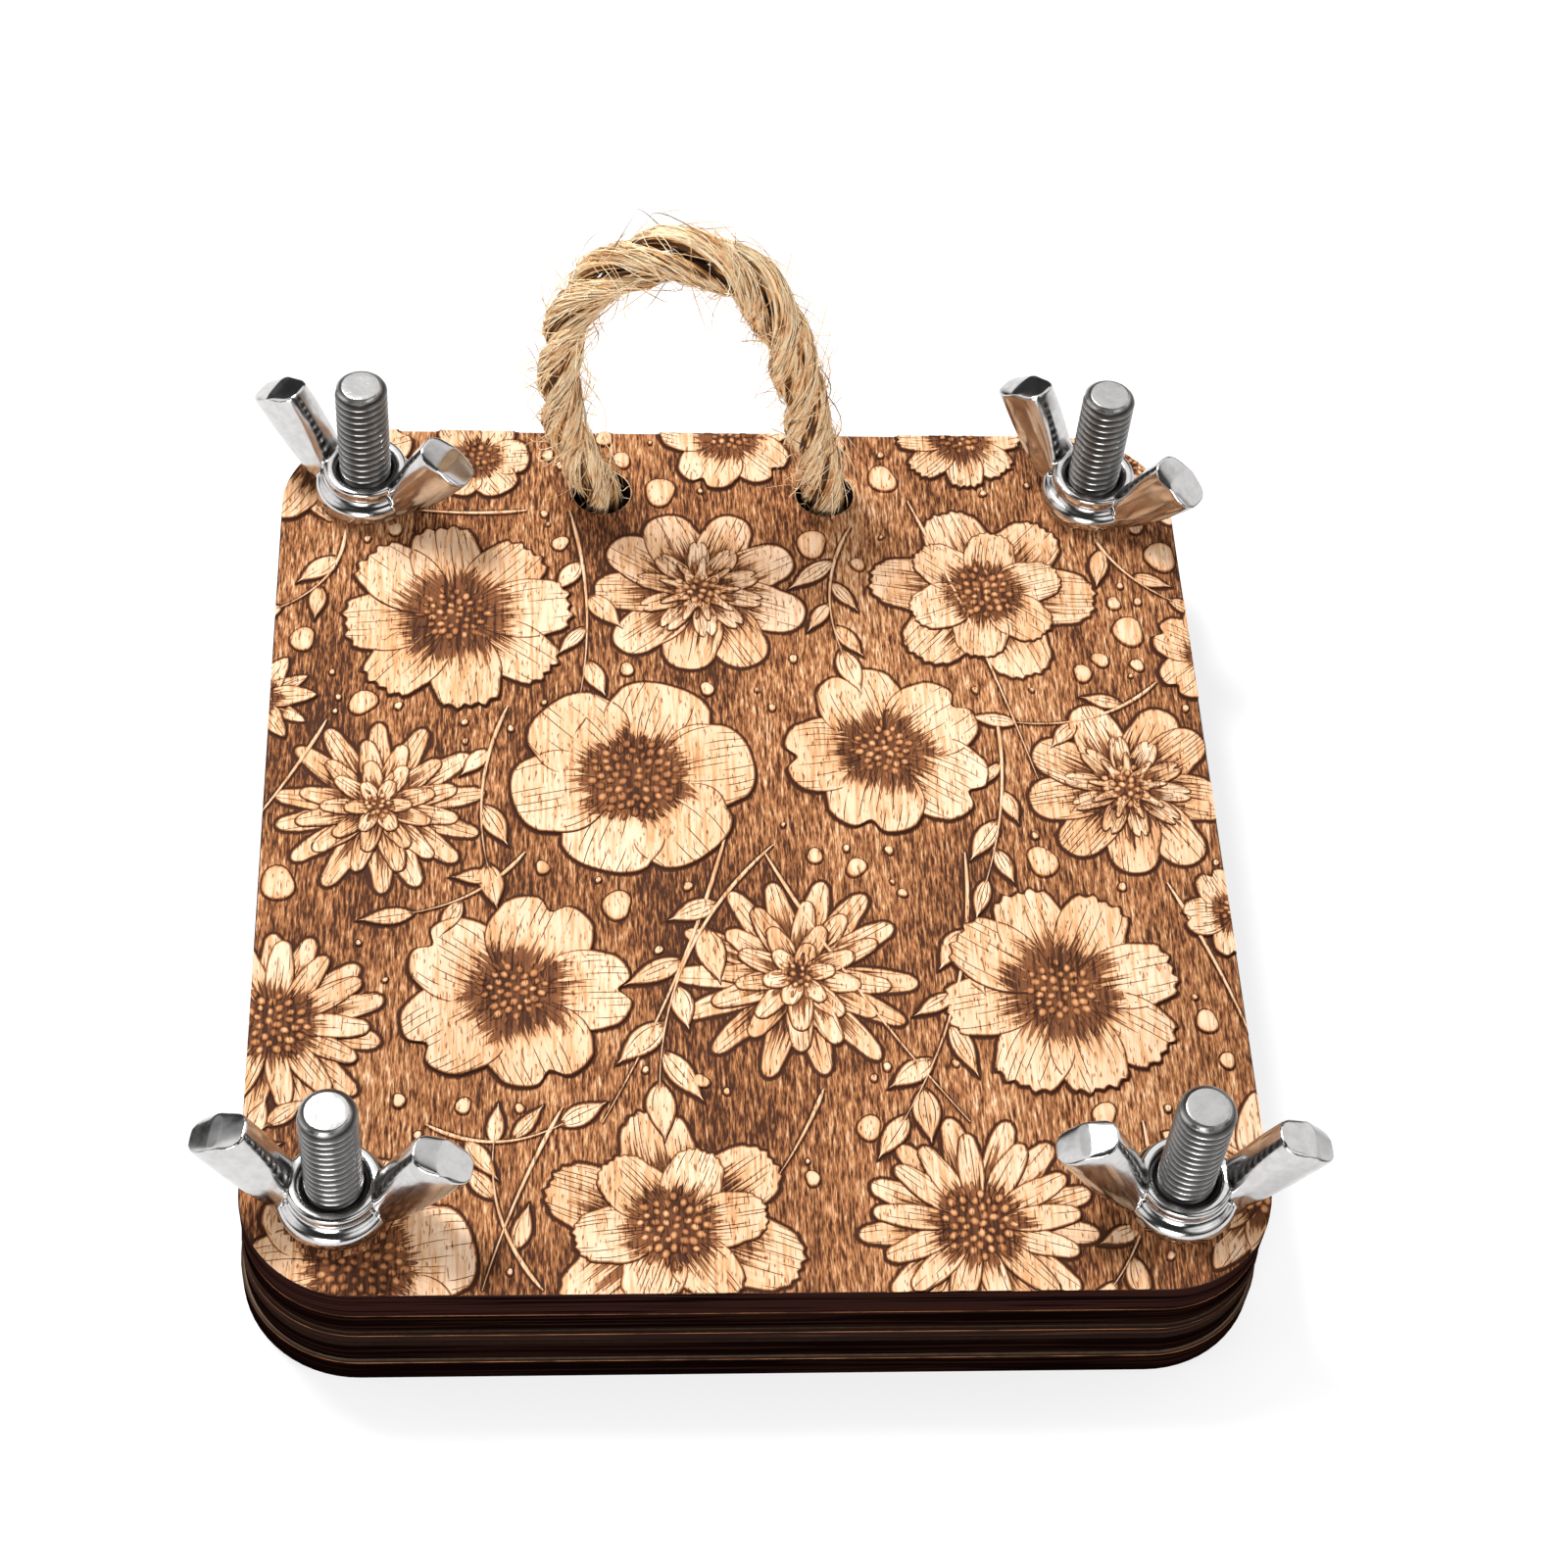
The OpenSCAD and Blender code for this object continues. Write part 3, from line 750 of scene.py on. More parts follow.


# Petals on a grid of s from root to tip and x from side to side: along is s times the rounded tip curve,
# and across is x times a half width that swells as a sine of s; lowered lines follow fixed x. Round the
# top lie a darker rim, the sloping side and a strip of ground that is partly burnt and partly painted shadow
def petalPatches(formName, roots, turns, long, wide, top, rng, shadeReach=None):
    form = dict(zip(petalColumns, petalForms[formName]))
    n, lines = len(roots), form["lines"]
    marks = -1 + 2 * (np.arange(lines) + 0.5) / lines + rng.uniform(-0.25, 0.25, (n, lines)) / lines
    half = relief["grooveWide"] / 2 / wide[:, None]
    middles = (marks[:, 1:] + marks[:, :-1]) / 2
    x = np.concatenate([marks - half, marks, marks + half, middles], 1)
    kind = np.concatenate([np.zeros(lines), np.ones(lines), np.zeros(lines), np.zeros(lines - 1)])
    order = np.argsort(x, 1)
    side = np.ones((n, 4))
    x = np.concatenate([-side, np.take_along_axis(x, order, 1), side], 1)[:, None]
    isLine = np.concatenate([0 * side, kind[order], 0 * side], 1)[:, None]
    s = np.array([*relief["rows"], 1, 1, 1])[None, :, None]
    # ring: 0 on the top, 1 on the rim's edge, 2 at the foot of the side, 3 at the end of the strip of burn
    # and painted shadow
    ringX = np.zeros(x.shape[2], int)
    ringX[:3], ringX[-3:] = (3, 2, 1), (1, 2, 3)
    ringS = np.zeros(s.shape[1], int)
    ringS[-3:] = (1, 2, 3)
    ring = np.maximum(ringS[:, None], ringX)[None]
    inset = np.array([relief["wall"] + relief["rim"], relief["wall"], 0, -relief["burntShadowHalo"]])[ring]
    dome = np.maximum(1 - np.abs(x) ** form["bow"], 0) ** (1 / form["blunt"])
    along = s * (1 - form["tip"] + form["tip"] * dome) - form["notch"] * s ** 5 * np.exp(-(x / 0.2) ** 2)
    along = along + form["scallop"] * s ** 5 * (np.cos(form["teeth"] * math.pi * x) - 1)
    along = (long[:, None, None] - inset) * along
    body = form["neck"] * (1 - s) + (1 - form["neck"]) * np.sin(form["swell"] * math.pi * s ** form["lean"])
    bend = rng.normal(0, relief["bend"], (n, 1, 1)) * long[:, None, None]
    full = wide[:, None, None] * body
    across = x * np.maximum(full - inset, 0.4 * full) + bend * s ** 2
    fromRoot = rng.uniform(0, 1, x.shape) < relief["fromRoot"]
    rootEnds, tipEnds = (rng.uniform(*relief[key], x.shape) for key in ("rootEnds", "tipEnds"))
    end = np.where(fromRoot, rootEnds, tipEnds)
    drawn = np.where(fromRoot, 1 - fade(s, end - 0.1, end), fade(s, end, end + 0.08)) * isLine * (ring == 0)
    level = top[:, None, None] - relief["sink"] * (1 - s) ** 1.6 - relief["tilt"] * (x + 1) / 2
    level = level - relief["groove"] * drawn
    strip = groundHeight + relief["lift"] * rng.uniform(0.5, 1, (n, 1, 1))
    z = np.where(ring < 2, level, strip - 0.5 * relief["lift"] * (ring == 3))
    tone = rng.uniform(*relief["tone"], (n, 1, 1))
    # The rim's edge and the foot of the side take the outline burn; past the foot it fades over the ground
    # as burn and painted shadow
    burn = relief["outlineBurnAndShadow"] * np.array([0, 1, 1, 0])[ring] + relief["grooveBurn"] * drawn
    burn = burn + tone * (ring < 2)
    shadeEnd = (shadeReach or form["shade"]) * rng.uniform(*relief["shading"], x.shape)
    shade = 1 - fade(s, shadeEnd * 0.25, shadeEnd)
    ahead = heading(turns)[:, None, None]
    xy = roots[:, None, None] + along[..., None] * ahead + across[..., None] * rightOf(ahead)
    uv = np.stack([across + rng.uniform(0, relief["grain"], (n, 1, 1)), along + 0 * across], -1)
    values = {"burn": burn, "shade": shade, "raised": 1.0 * (ring < 2)}
    return np.concatenate([xy, z[..., None]], -1), values, uv


# Several lists of arrays, each joined into one array
def joined(*lists):
    return (np.concatenate(part) for part in lists)


# The columns of a table, as arrays
def columnsOf(table):
    return [np.array(column, float) for column in zip(*table)]


# Joins patches of any grid size into one piece, trimmed to the board; faces that fall wholly outside
# are dropped
def reliefPiece(name, patches, sharp=35):
    keys = ("burn", "shade", "raised")
    points, uvs, faces, count = [], [], [], 0
    values = {key: [] for key in keys}
    for grid, marks, uv in patches:
        n, rows, cols, _ = grid.shape
        placed, moved, _ = trimToBoard(grid[..., :2], 0.03)
        quads = gridFaces(n, rows, cols)
        faces.append(quads[~moved.ravel()[quads].all(1)] + count)
        points.append(np.concatenate([placed, grid[..., 2:]], -1).reshape(-1, 3))
        for key in keys:
            values[key].append(np.broadcast_to(marks[key], grid.shape[:3]).ravel())
        uvs.append(uv.reshape(-1, 2))
        count += len(points[-1])
    points, uvs, faces = joined(points, uvs, faces)
    used, faces = np.unique(faces, return_inverse=True)
    values = {key: np.concatenate(values[key])[used] for key in keys}
    faces = [faces.reshape(-1, 4)]
    made = makePiece(name, points[used], faces, [engravedWood], values, uvs[used], sharp=sharp)
    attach(made, "top_board")
    return made


# core: size of the middle; seeds: their burn; rings: petals from the lowest up, with form, how many, reach
# and half width as shares of the flower, drop below the face, and reach of the burn along a petal
flowerKinds = {
    "primrose": {"core": 0.27, "seeds": (0.1, 0.4), "rings": [("heart", 5, 1.0, 0.6, 0.02, 0.6)]},
    "anemone": {"core": 0.37, "seeds": (0.25, 0.55), "rings": [("round", 6, 1.0, 0.52, 0.02, 0.5)]},
    "daisy": {"core": 0.3, "seeds": (0.1, 0.4), "rings": [
        ("tongue", 13, 1.0, 0.17, 0.15, 0.95), ("tongue", 13, 0.86, 0.16, 0.02, 0.6)]},
    "star": {"core": 0.25, "seeds": (0.1, 0.4), "rings": [
        ("spear", 6, 0.94, 0.23, 0.15, 0.8), ("spear", 6, 1.0, 0.27, 0.02, 0.6)]},
    "cosmos": {"core": 0.27, "seeds": (0.15, 0.45), "rings": [("ruffle", 8, 1.0, 0.41, 0.02, 0.66)]},
    "dahlia": {"core": 0.15, "seeds": (0.0, 0.3), "rings": [
        ("tongue", 14, 1.0, 0.165, 0.2, 0.98), ("tongue", 12, 0.76, 0.15, 0.13, 0.96),
        ("tongue", 9, 0.54, 0.14, 0.07, 0.94), ("tongue", 6, 0.33, 0.12, 0.02, 0.6)]},
    "mallow": {"core": 0.26, "seeds": (0.1, 0.4), "rings": [
        ("fan", 6, 1.0, 0.42, 0.15, 0.95), ("fan", 6, 0.72, 0.33, 0.02, 0.62)]},
    "rosette": {"core": 0.24, "seeds": (0.0, 0.25), "rings": [
        ("round", 9, 1.0, 0.32, 0.16, 0.86), ("heart", 10, 0.6, 0.16, 0.08, 0.85),
        ("bud", 9, 0.4, 0.1, 0.02, 0.55)]},
}
# Kind, place on the board, radius and turn in degrees
flowers = [
    ("cosmos", -32, 29, 13.5, 8), ("rosette", -4, 33, 12.5, 4), ("mallow", 29, 33, 13.5, 20),
    ("dahlia", -40, 2, 12, 0), ("anemone", -12, 6, 13.5, 12), ("primrose", 16, 10, 12, 40),
    ("rosette", 43, 5, 12, 9), ("primrose", -25, -22, 12.5, 75), ("dahlia", 5, -20, 13, 10),
    ("cosmos", 33, -22, 13.5, 14), ("daisy", -50, -26, 12, 0), ("star", 52, -46, 12, 25),
    ("mallow", -9, -50, 14, 8), ("anemone", -40, -54, 12, 10), ("daisy", 22, -50, 12.5, 5),
    ("primrose", -49, 54, 12, 20), ("primrose", 0, 57, 8.5, 30), ("dahlia", 48, 53, 11, 0),
    ("star", -54, 17, 7, 0), ("primrose", 55, 24, 7.5, 10), ("cosmos", 28, 57, 8, 0),
    ("anemone", -30, 53, 6.5, 0), ("primrose", 53, -12, 6, 45),
]


# Petals of all the flowers of a kind, ring by ring: they start three quarters of the way out to the
# core's rim, and neighbours lie at stepped heights
def flowerPatches(kind, rng):
    values = flowerKinds[kind]
    mine = [f for f in flowers if f[0] == kind]
    patches = []
    for form, many, reach, wide, drop, shadeReach in values["rings"]:
        roots, turns, long, half, drops = [], [], [], [], []
        for _, x, y, radius, turn in mine:
            angles = math.radians(turn) + fullTurn * (np.arange(many) + (drop > 0.05) * 0.5) / many
            angles = angles + rng.normal(0, 0.04, many)
            start = radius * values["core"] * min(reach, 0.8) * 0.75
            roots.append(np.array([x, y]) + start * heading(angles))
            turns.append(angles)
            long.append((radius * reach - start) * rng.uniform(0.94, 1.04, many))
            half.append(np.full(many, radius * wide) * rng.uniform(0.93, 1.07, many))
            steps = np.array(relief["steps"])[np.arange(many) % 3]
            steps[-1] = relief["steps"][1 if many % 3 == 1 else 2]
            drops.append(drop + steps * (0.5 if len(values["rings"]) > 2 else 1))
        roots, turns, long, half, drops = joined(roots, turns, long, half, drops)
        top = boardHigh[2] - drops - rng.uniform(0, 0.01, len(turns))
        patches.append(petalPatches(form, roots, turns, long, half, top, rng, shadeReach))
    return patches


domeRings = [0.02, 0.45, 0.8, 0.97, 1.06]  # shares of a bump's radius


# Bumps: rings of points round a middle, drawn out towards an angle, from the top down to a foot, rising
# as the root of 1 less r squared
def domePatches(places, radii, foot, top, burnTop, burnFoot, rng, cols, angles, stretch):
    n = len(places)
    shares = np.array(domeRings)[None, :, None]
    turn = -np.linspace(0, fullTurn, cols + 1)[None, None, :, None]
    ahead = heading(angles)[:, None, None]
    way = np.cos(turn) * ahead * stretch - np.sin(turn) * rightOf(ahead)
    xy = places[:, None, None] + (radii[:, None, None] * shares)[..., None] * way
    height = 0.35 + 0.65 * np.sqrt(np.clip(1 - shares ** 2, 0, 1))
    z = np.where(shares > 1, foot, foot + (top - foot)[:, None, None] * height)
    z = np.broadcast_to(z, xy.shape[:3])
    burn = burnTop[:, None, None] + (burnFoot - burnTop)[:, None, None] * shares ** 2.5
    uv = xy + rng.uniform(0, relief["grain"], (n, 1, 1, 1))
    return np.concatenate([xy, z[..., None]], -1), {"burn": burn, "shade": 0.0, "raised": 1.0}, uv


# Flat drops, longer than wide, with a darker rim and a strip of ground round them that is partly burnt and
# partly painted shadow. Rings of points run from the middle out: share of the radius, millimetres further
# out, height below the top or, where that is None, on the ground, burn, raised
discRings = [(0.02, 0, 0, 0, 1), (0.55, 0, 0, 0.03, 1), (0.86, 0, -0.01, 0.1, 1), (0.96, 0, -0.04, 0.34, 1),
             (1, 0.1, None, 0.6, 0), (1, 0.32, None, 0, 0)]


def discPatches(places, radii, rng, cols=22):
    n = len(places)
    turn = -np.linspace(0, fullTurn, cols + 1)[None, None, :]
    share, further, down, burn, raised = (column[None, :, None] for column in columnsOf(discRings))
    r = radii[:, None, None] * share + further
    lean = rng.normal(0, 0.4, (n, 1, 1))
    wave = rng.uniform(0, 6, (n, 1, 1))
    shape = 1 + 0.13 * np.cos(2 * (turn - math.pi / 2 - lean)) + 0.06 * np.cos(3 * turn + wave)
    xy = places[:, None, None] + (r * shape)[..., None] * heading(turn)
    top = boardHigh[2] - rng.uniform(0.02, 0.1, n)[:, None, None]
    ground = groundHeight + relief["lift"] * (1.3 - share - 0.5 * (further > 0.2))
    z = np.where(np.isnan(down), ground, top + np.nan_to_num(down))
    uv = xy + rng.uniform(0, relief["grain"], (n, 1, 1, 1))
    points = np.concatenate([xy, np.broadcast_to(z, xy.shape[:3])[..., None]], -1)
    return points, {"burn": burn, "shade": 0.0, "raised": raised}, uv


cores = {
    "seeds": 10,  # how many at least
    "perArea": 2.0,
    "seedStretch": 1.25,
    "teethPerMillimetre": 5.2,  # pointed stamens round the middle, by its radius
    "tooth": 0.27,  # half its width
    "toothStretch": 2.7,
    "toothOut": 0.42,
    "seedDepth": 0.32,
    "discDepth": 0.14,
    "disc": 1.04,  # burnt disc under the seeds, as a share of the middle
    "seedFaces": 8,
    "discFaces": 40,
}


# Seeds on a golden-angle spiral, radius growing as the root of the count, over a burnt disc with pointed
# stamens round it
def corePatches(rng):
    places, radii, tones, angles, discRadii, teethPlaces, teethAngles = ([] for _ in range(7))
    for kind, x, y, radius, turn in flowers:
        core = radius * flowerKinds[kind]["core"]
        count = int(cores["seeds"] + cores["perArea"] * core ** 2)
        i = np.arange(count)
        r = core * np.sqrt((i + 0.5) / count)
        a = i * 2.39996 + math.radians(turn)
        places.append(np.stack([x + r * np.cos(a), y + r * np.sin(a)], -1) + rng.normal(0, 0.07, (count, 2)))
        radii.append(core * 0.82 / math.sqrt(count) * rng.uniform(0.8, 1.12, count))
        tones.append(rng.uniform(*flowerKinds[kind]["seeds"], count))
        angles.append(a + rng.normal(0, 0.3, count))
        discRadii.append(core * cores["disc"])
        teeth = int(core * cores["teethPerMillimetre"])
        a = fullTurn * np.arange(teeth) / teeth + rng.normal(0, 0.05, teeth)
        out = (core * 1.02 + cores["toothOut"] * rng.uniform(0.2, 1.6, teeth))[:, None]
        teethPlaces.append(np.array([x, y]) + out * heading(a))
        teethAngles.append(a + rng.normal(0, 0.12, teeth))
    places, radii, tones, angles = joined(places, radii, tones, angles)
    teethPlaces, teethAngles = joined(teethPlaces, teethAngles)
    discPlaces = np.array([f[1:3] for f in flowers], float)
    level = boardHigh[2]
    n, m, t = len(places), len(flowers), len(teethAngles)
    seeds = domePatches(places, radii, level - cores["seedDepth"], level - rng.uniform(0, 0.06, n), tones,
                        np.full(n, 0.95), rng, cores["seedFaces"], angles, cores["seedStretch"])
    discTop = np.full(m, level - cores["discDepth"])
    discs = domePatches(discPlaces, np.array(discRadii), groundHeight - 0.05, discTop, np.full(m, 0.84),
                        np.full(m, 0.9), rng, cores["discFaces"], np.zeros(m), 1)
    teeth = domePatches(teethPlaces, cores["tooth"] * rng.uniform(0.7, 1.2, t), level - cores["seedDepth"],
                        level - rng.uniform(0.01, 0.08, t), rng.uniform(0.45, 0.75, t), np.full(t, 0.95),
                        rng, cores["seedFaces"], teethAngles, cores["toothStretch"])
    return [seeds, discs, teeth]


# Petals kind by kind, and then the middles of all the flowers
def makeFlowers():
    rng = np.random.default_rng(relief["seed"])
    for kind in flowerKinds:
        reliefPiece(kind + "_petals", flowerPatches(kind, rng))
    reliefPiece("flower_seeds", corePatches(rng), sharp=60)


makeFlowers()
print("flowers")

# Sprigs: from, to, bend to the left as a share of the length, leaves on each side and their length
sprigs = [
    (-19, 45, -18, 17, 0.1, 2, 7.5), (14, 43, 12, 24, -0.2, 2, 7.0), (-24, -4, -36, -12, 0.2, 1, 6.0),
    (3, -3, -10, -34, -0.2, 3, 8.0), (24, -4, 15, -38, 0.14, 3, 7.5), (48, 20, 31, 14, 0.25, 1, 6.0),
    (-34, -38, -20, -38, -0.3, 1, 6.0), (40, -38, 35, -57, 0.2, 2, 6.5), (-45, 42, -52, 30, 0.3, 1, 6.5),
    (-22, -57, -27, -40, 0.2, 1, 6.0), (42, 44, 51, 32, -0.2, 1, 6.0), (-54, -43, -50, -38, 0.1, 1, 5.0),
    (29, 15, 26, -8, 0.1, 2, 6.5), (-26, 16, -28, -6, -0.15, 1, 6.5),
]
# Blades: long thin stems with no leaves, given the same way
blades = [
    (21, 47, 33, 6, 0.03), (-2, -1, -16, -38, 0.06), (2, -4, 22, -38, -0.05), (-46, 14, -56, -4, 0.05),
    (46, -8, 54, -34, 0.06), (-20, -36, -28, -57, -0.05), (7, -34, 2, -44, 0.05), (-24, 45, -42, 46, 0.1),
]
stems = {
    "width": 0.21,
    "rows": 30,
    "strip": 0.3,  # width of the strip on either side that is partly burnt ground and partly painted shadow
    # from side to side: share of the width, place on the strip, height over the ground or below the face,
    # burn, raised
    "section": [(-1.3, -1, 0.005, 0, 0), (-1.3, 0, 0.012, 0.5, 0), (-1, 0, -0.17, 0.2, 1),
                (-0.35, 0, -0.12, 0.03, 1), (0.35, 0, -0.12, 0.03, 1), (1, 0, -0.17, 0.2, 1),
                (1.3, 0, 0.012, 0.5, 0), (1.3, 1, 0.005, 0, 0)],
    "seed": 31,
}


# Quadratic curves from their two ends and the bend to one side
def stemLines(table):
    t = np.linspace(0, 1, stems["rows"])[None, :, None]
    ends = np.array([row[:5] for row in table], float)
    start, end, bend = ends[:, None, :2], ends[:, None, 2:4], ends[:, None, 4:5]
    middle = (start + end) / 2 - bend * rightOf(end - start)
    return (1 - t) ** 2 * start + 2 * t * (1 - t) * middle + t ** 2 * end


# Leaves set in turn on either side of a sprig's line, and one at its end
def leafPlaces(lines, rng):
    roots, turns, long = [], [], []
    for line, (_, _, _, _, _, leaves, leafLong) in zip(lines, sprigs):
        for k in range(2 * leaves + 1):
            row = min(int((0.28 + 0.72 * k / (2 * leaves)) * (stems["rows"] - 1)), stems["rows"] - 2)
            way = line[row + 1] - line[row]
            side = 0 if k == 2 * leaves else (1 if k % 2 else -1)
            roots.append(line[row])
            turns.append(math.atan2(way[1], way[0]) + side * rng.uniform(0.45, 0.75))
            long.append(leafLong * rng.uniform(0.75, 1.1))
    return np.array(roots), np.array(turns), np.array(long)


# Leaves, and stems whose half width tapers to the end. Gives points along all of them, to keep the
# berries clear
def makeSprigs():
    rng = np.random.default_rng(stems["seed"])
    lines = stemLines(sprigs)
    roots, turns, long = leafPlaces(lines, rng)
    wide = long * rng.uniform(0.17, 0.23, len(long))
    top = boardHigh[2] - 0.06 - rng.uniform(0, 0.04, len(long))
    reliefPiece("leaves", [petalPatches("leaf", roots, turns, long, wide, top, rng)])
    lines = np.concatenate([lines, stemLines(blades)])
    right = rightOf(unit(np.gradient(lines, axis=1)))
    x, strip, height, burn, raised = columnsOf(stems["section"])
    t = np.linspace(0, 1, stems["rows"])
    half = stems["width"] * (1.15 - 0.9 * t) * np.sqrt(np.minimum(1, 0.1 + 6 * t))
    out = x[None, None, :] * half[None, :, None] + stems["strip"] * strip
    xy = lines[:, :, None] + right[:, :, None] * out[..., None]
    z = np.where(raised > 0, boardHigh[2], groundHeight) + height + 0 * xy[..., 0]
    uv = np.stack([x + 0 * xy[..., 0], xy[..., 1]], -1)
    values = {"burn": burn, "shade": 0.0, "raised": raised}
    reliefPiece("stems", [(np.concatenate([xy, z[..., None]], -1), values, uv)])
    middles = roots + long[:, None] * 0.5 * heading(turns)
    return np.concatenate([lines.reshape(-1, 2), middles, roots + 2 * (middles - roots)])


sprigPoints = makeSprigs()
print("sprigs")

berries = {
    "tries": 1500,
    "large": 34,  # how many, and their least and greatest radius
    "largeRadius": (0.7, 2.1),
    "small": 60,
    "smallRadius": (0.22, 0.5),
    "fromFlowers": 0.4,  # least distances
    "fromSprigs": 1.0,
    "apart": 0.7,
    "seed": 47,
}


# Berries and specks: random places kept clear of the flowers, the sprigs, the holes and of each other
def makeBerries():
    rng = np.random.default_rng(berries["seed"])
    places, radii = [], []
    centres = np.array([f[1:3] for f in flowers] + [h[:2] for h in holes], float)
    reach = np.array([f[3] for f in flowers] + [h[2] for h in holes])
    for k in range(berries["tries"]):
        wanted = rng.uniform(*berries["largeRadius" if len(places) < berries["large"] else "smallRadius"])
        spot = rng.uniform(-1, 1, 2) * boardHalf
        clear = np.all(np.hypot(*(centres - spot).T) > reach + wanted + berries["fromFlowers"])
        clear = clear and np.all(np.hypot(*(sprigPoints - spot).T) > wanted + berries["fromSprigs"])
        if places:
            least = np.array(radii) + wanted + berries["apart"]
            clear = clear and np.all(np.hypot(*(np.array(places) - spot).T) > least)
        if clear:
            places.append(spot)
            radii.append(wanted)
        if len(places) >= berries["large"] + berries["small"]:
            break
    reliefPiece("berries", [discPatches(np.array(places), np.array(radii), rng)])
    return len(places)


print("berries and specks:", makeBerries())

steel = {
    "nut": (0.58, 0.57, 0.565),
    "bolt": (0.44, 0.435, 0.43),
    "smear": 0.88,  # colour of the dullest smears, as a share of the steel's
    # dark colour of the painted shade in the hollows
    "hollowShadeColour": (0.02, 0.015, 0.012),
    "hollowShade": 0.98,  # how much of the painted shade shows in the darkest hollows, and how much rougher they are
    "hollowShadeRough": 0.3,
}


# Bright steel: metal with soft forging waves or fine turning marks, a roughness that wanders, and painted
# shade that darkens its hollows
def steelMaterial(name, colour, rough, dullest, waves, depth):
    made, graph = newMaterial(name)
    place = graph.add("TexCoord", output="Object")
    smear = graph.noise(place, (900, 900, 900), 4.0, 0.6)
    # Painted shade: a value on the mesh that darkens the steel in its hollows and makes them rougher
    hollowShade = graph.attribute("hollowShade")
    roughness = hollowShade * steel["hollowShadeRough"] + graph.span(smear, 0.3, 0.75, rough, dullest)
    dull = [c * steel["smear"] for c in colour]
    tone = graph.mixColour(graph.span(smear, 0.35, 0.7), (*colour, 1), (*dull, 1))
    tone = graph.mixColour(hollowShade * steel["hollowShade"], tone, (*steel["hollowShadeColour"], 1))
    graph.surface(tone, roughness, graph.noise(place, (waves, waves, waves)), depth, {"Metallic": 1.0})
    return made


nutSteel = steelMaterial("nut_nickel", steel["nut"], 0.13, 0.2, 260, 0.00004)
boltSteel = steelMaterial("bolt_zinc", steel["bolt"], 0.16, 0.3, 2600, 0.00002)

bolt = {
    "radius": 3.0,
    "core": 2.5,  # radius at the bottom of the thread
    "pitch": 1.0,
    "crest": 0.14,  # shares of half a pitch that the crest and the slope of a thread take
    "slope": 0.74,
    "runOut": 1.5,  # height over which the thread fades in above the head
    "rowsPerTurn": 11,
    "around": 64,
    "headRadius": 6.0,
    "headRim": 0.3,
    "socket": 4.0,  # across its flats
    "socketDepth": 2.2,
    "chamfer": 0.8,
}


# A bolt as one turned surface of height and angle: the socket's hexagon, the head's cone, and a thread
# whose radius is a clipped triangle wave of height over pitch less the turn
def makeBolt(name):
    low, high = cornersOf("bolt_" + name)
    place = boltPlaces[name]
    radius, head, depth = bolt["radius"], bolt["headRadius"], bolt["socketDepth"]
    a = turnsRound(bolt["around"])
    one = np.ones_like(a)
    hexagon = bolt["socket"] / 2 / np.cos((a + math.pi / 6) % (math.pi / 3) - math.pi / 6)
    length = high[2] - low[2]
    coneTop = bolt["headRim"] + head - radius
    # Rings of points as radius and height: the socket's floor, its wall and its rim, the head and its cone
    rows = [(0.02 * one, depth), (0.6 * hexagon, depth), (hexagon * 0.985, depth), (hexagon, depth - 0.05),
            (hexagon, 0.25), (hexagon * 0.6 + 2.5 * 0.4 + 0.15, 0.0), (3.6 * one, 0.0),
            (head * one - 0.12, 0.0), (head * one, 0.1), (head * one, bolt["headRim"]),
            ((radius + 0.2) * one, coneTop - 0.2)]
    z = np.arange(coneTop, length, bolt["pitch"] / bolt["rowsPerTurn"])[:, None]
    phase = (z / bolt["pitch"] - a / fullTurn) % 1
    ridge = np.clip((np.abs(phase * 2 - 1) - bolt["crest"]) / bolt["slope"], 0, 1)
    cut = (radius - bolt["core"]) * fade(z, coneTop, coneTop + bolt["runOut"])
    r = radius - 0.02 - cut * (1 - ridge)
    r = np.minimum(r, radius - (z - (length - bolt["chamfer"])))
    valleys = (1 - ridge) * cut / (radius - bolt["core"]) + 0 * r
    before = len(rows)
    rows += [(r[k:k + 1], z[k, 0]) for k in range(len(z))]
    tip = radius - bolt["chamfer"]
    rows += [((tip - 0.02) * one, length - 0.02), ((tip - 0.12) * one, length),
             (0.6 * tip * one, length - 0.02), (0.02 * one, length - 0.03)]
    radii = np.concatenate([row[0] for row in rows])
    heights = np.array([row[1] for row in rows])[:, None] + low[2]
    points = np.stack([place[0] + radii * np.cos(a), place[1] + radii * np.sin(a), heights + 0 * radii], -1)
    # Painted shade in the thread's valleys and in the socket
    hollowShade = np.zeros_like(radii)
    hollowShade[before:before + len(z)] = valleys ** 0.4
    hollowShade[:5] = 0.8
    made = makePiece("threaded_bolt_" + name, points, tubeFaces(1, *radii.shape), [boltSteel],
                     {"hollowShade": hollowShade}, closed=True, sharp=50)
    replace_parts(made, "bolt_" + name)
    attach(made, "base")


for name in nutNames:
    makeBolt(name)
print("bolts")

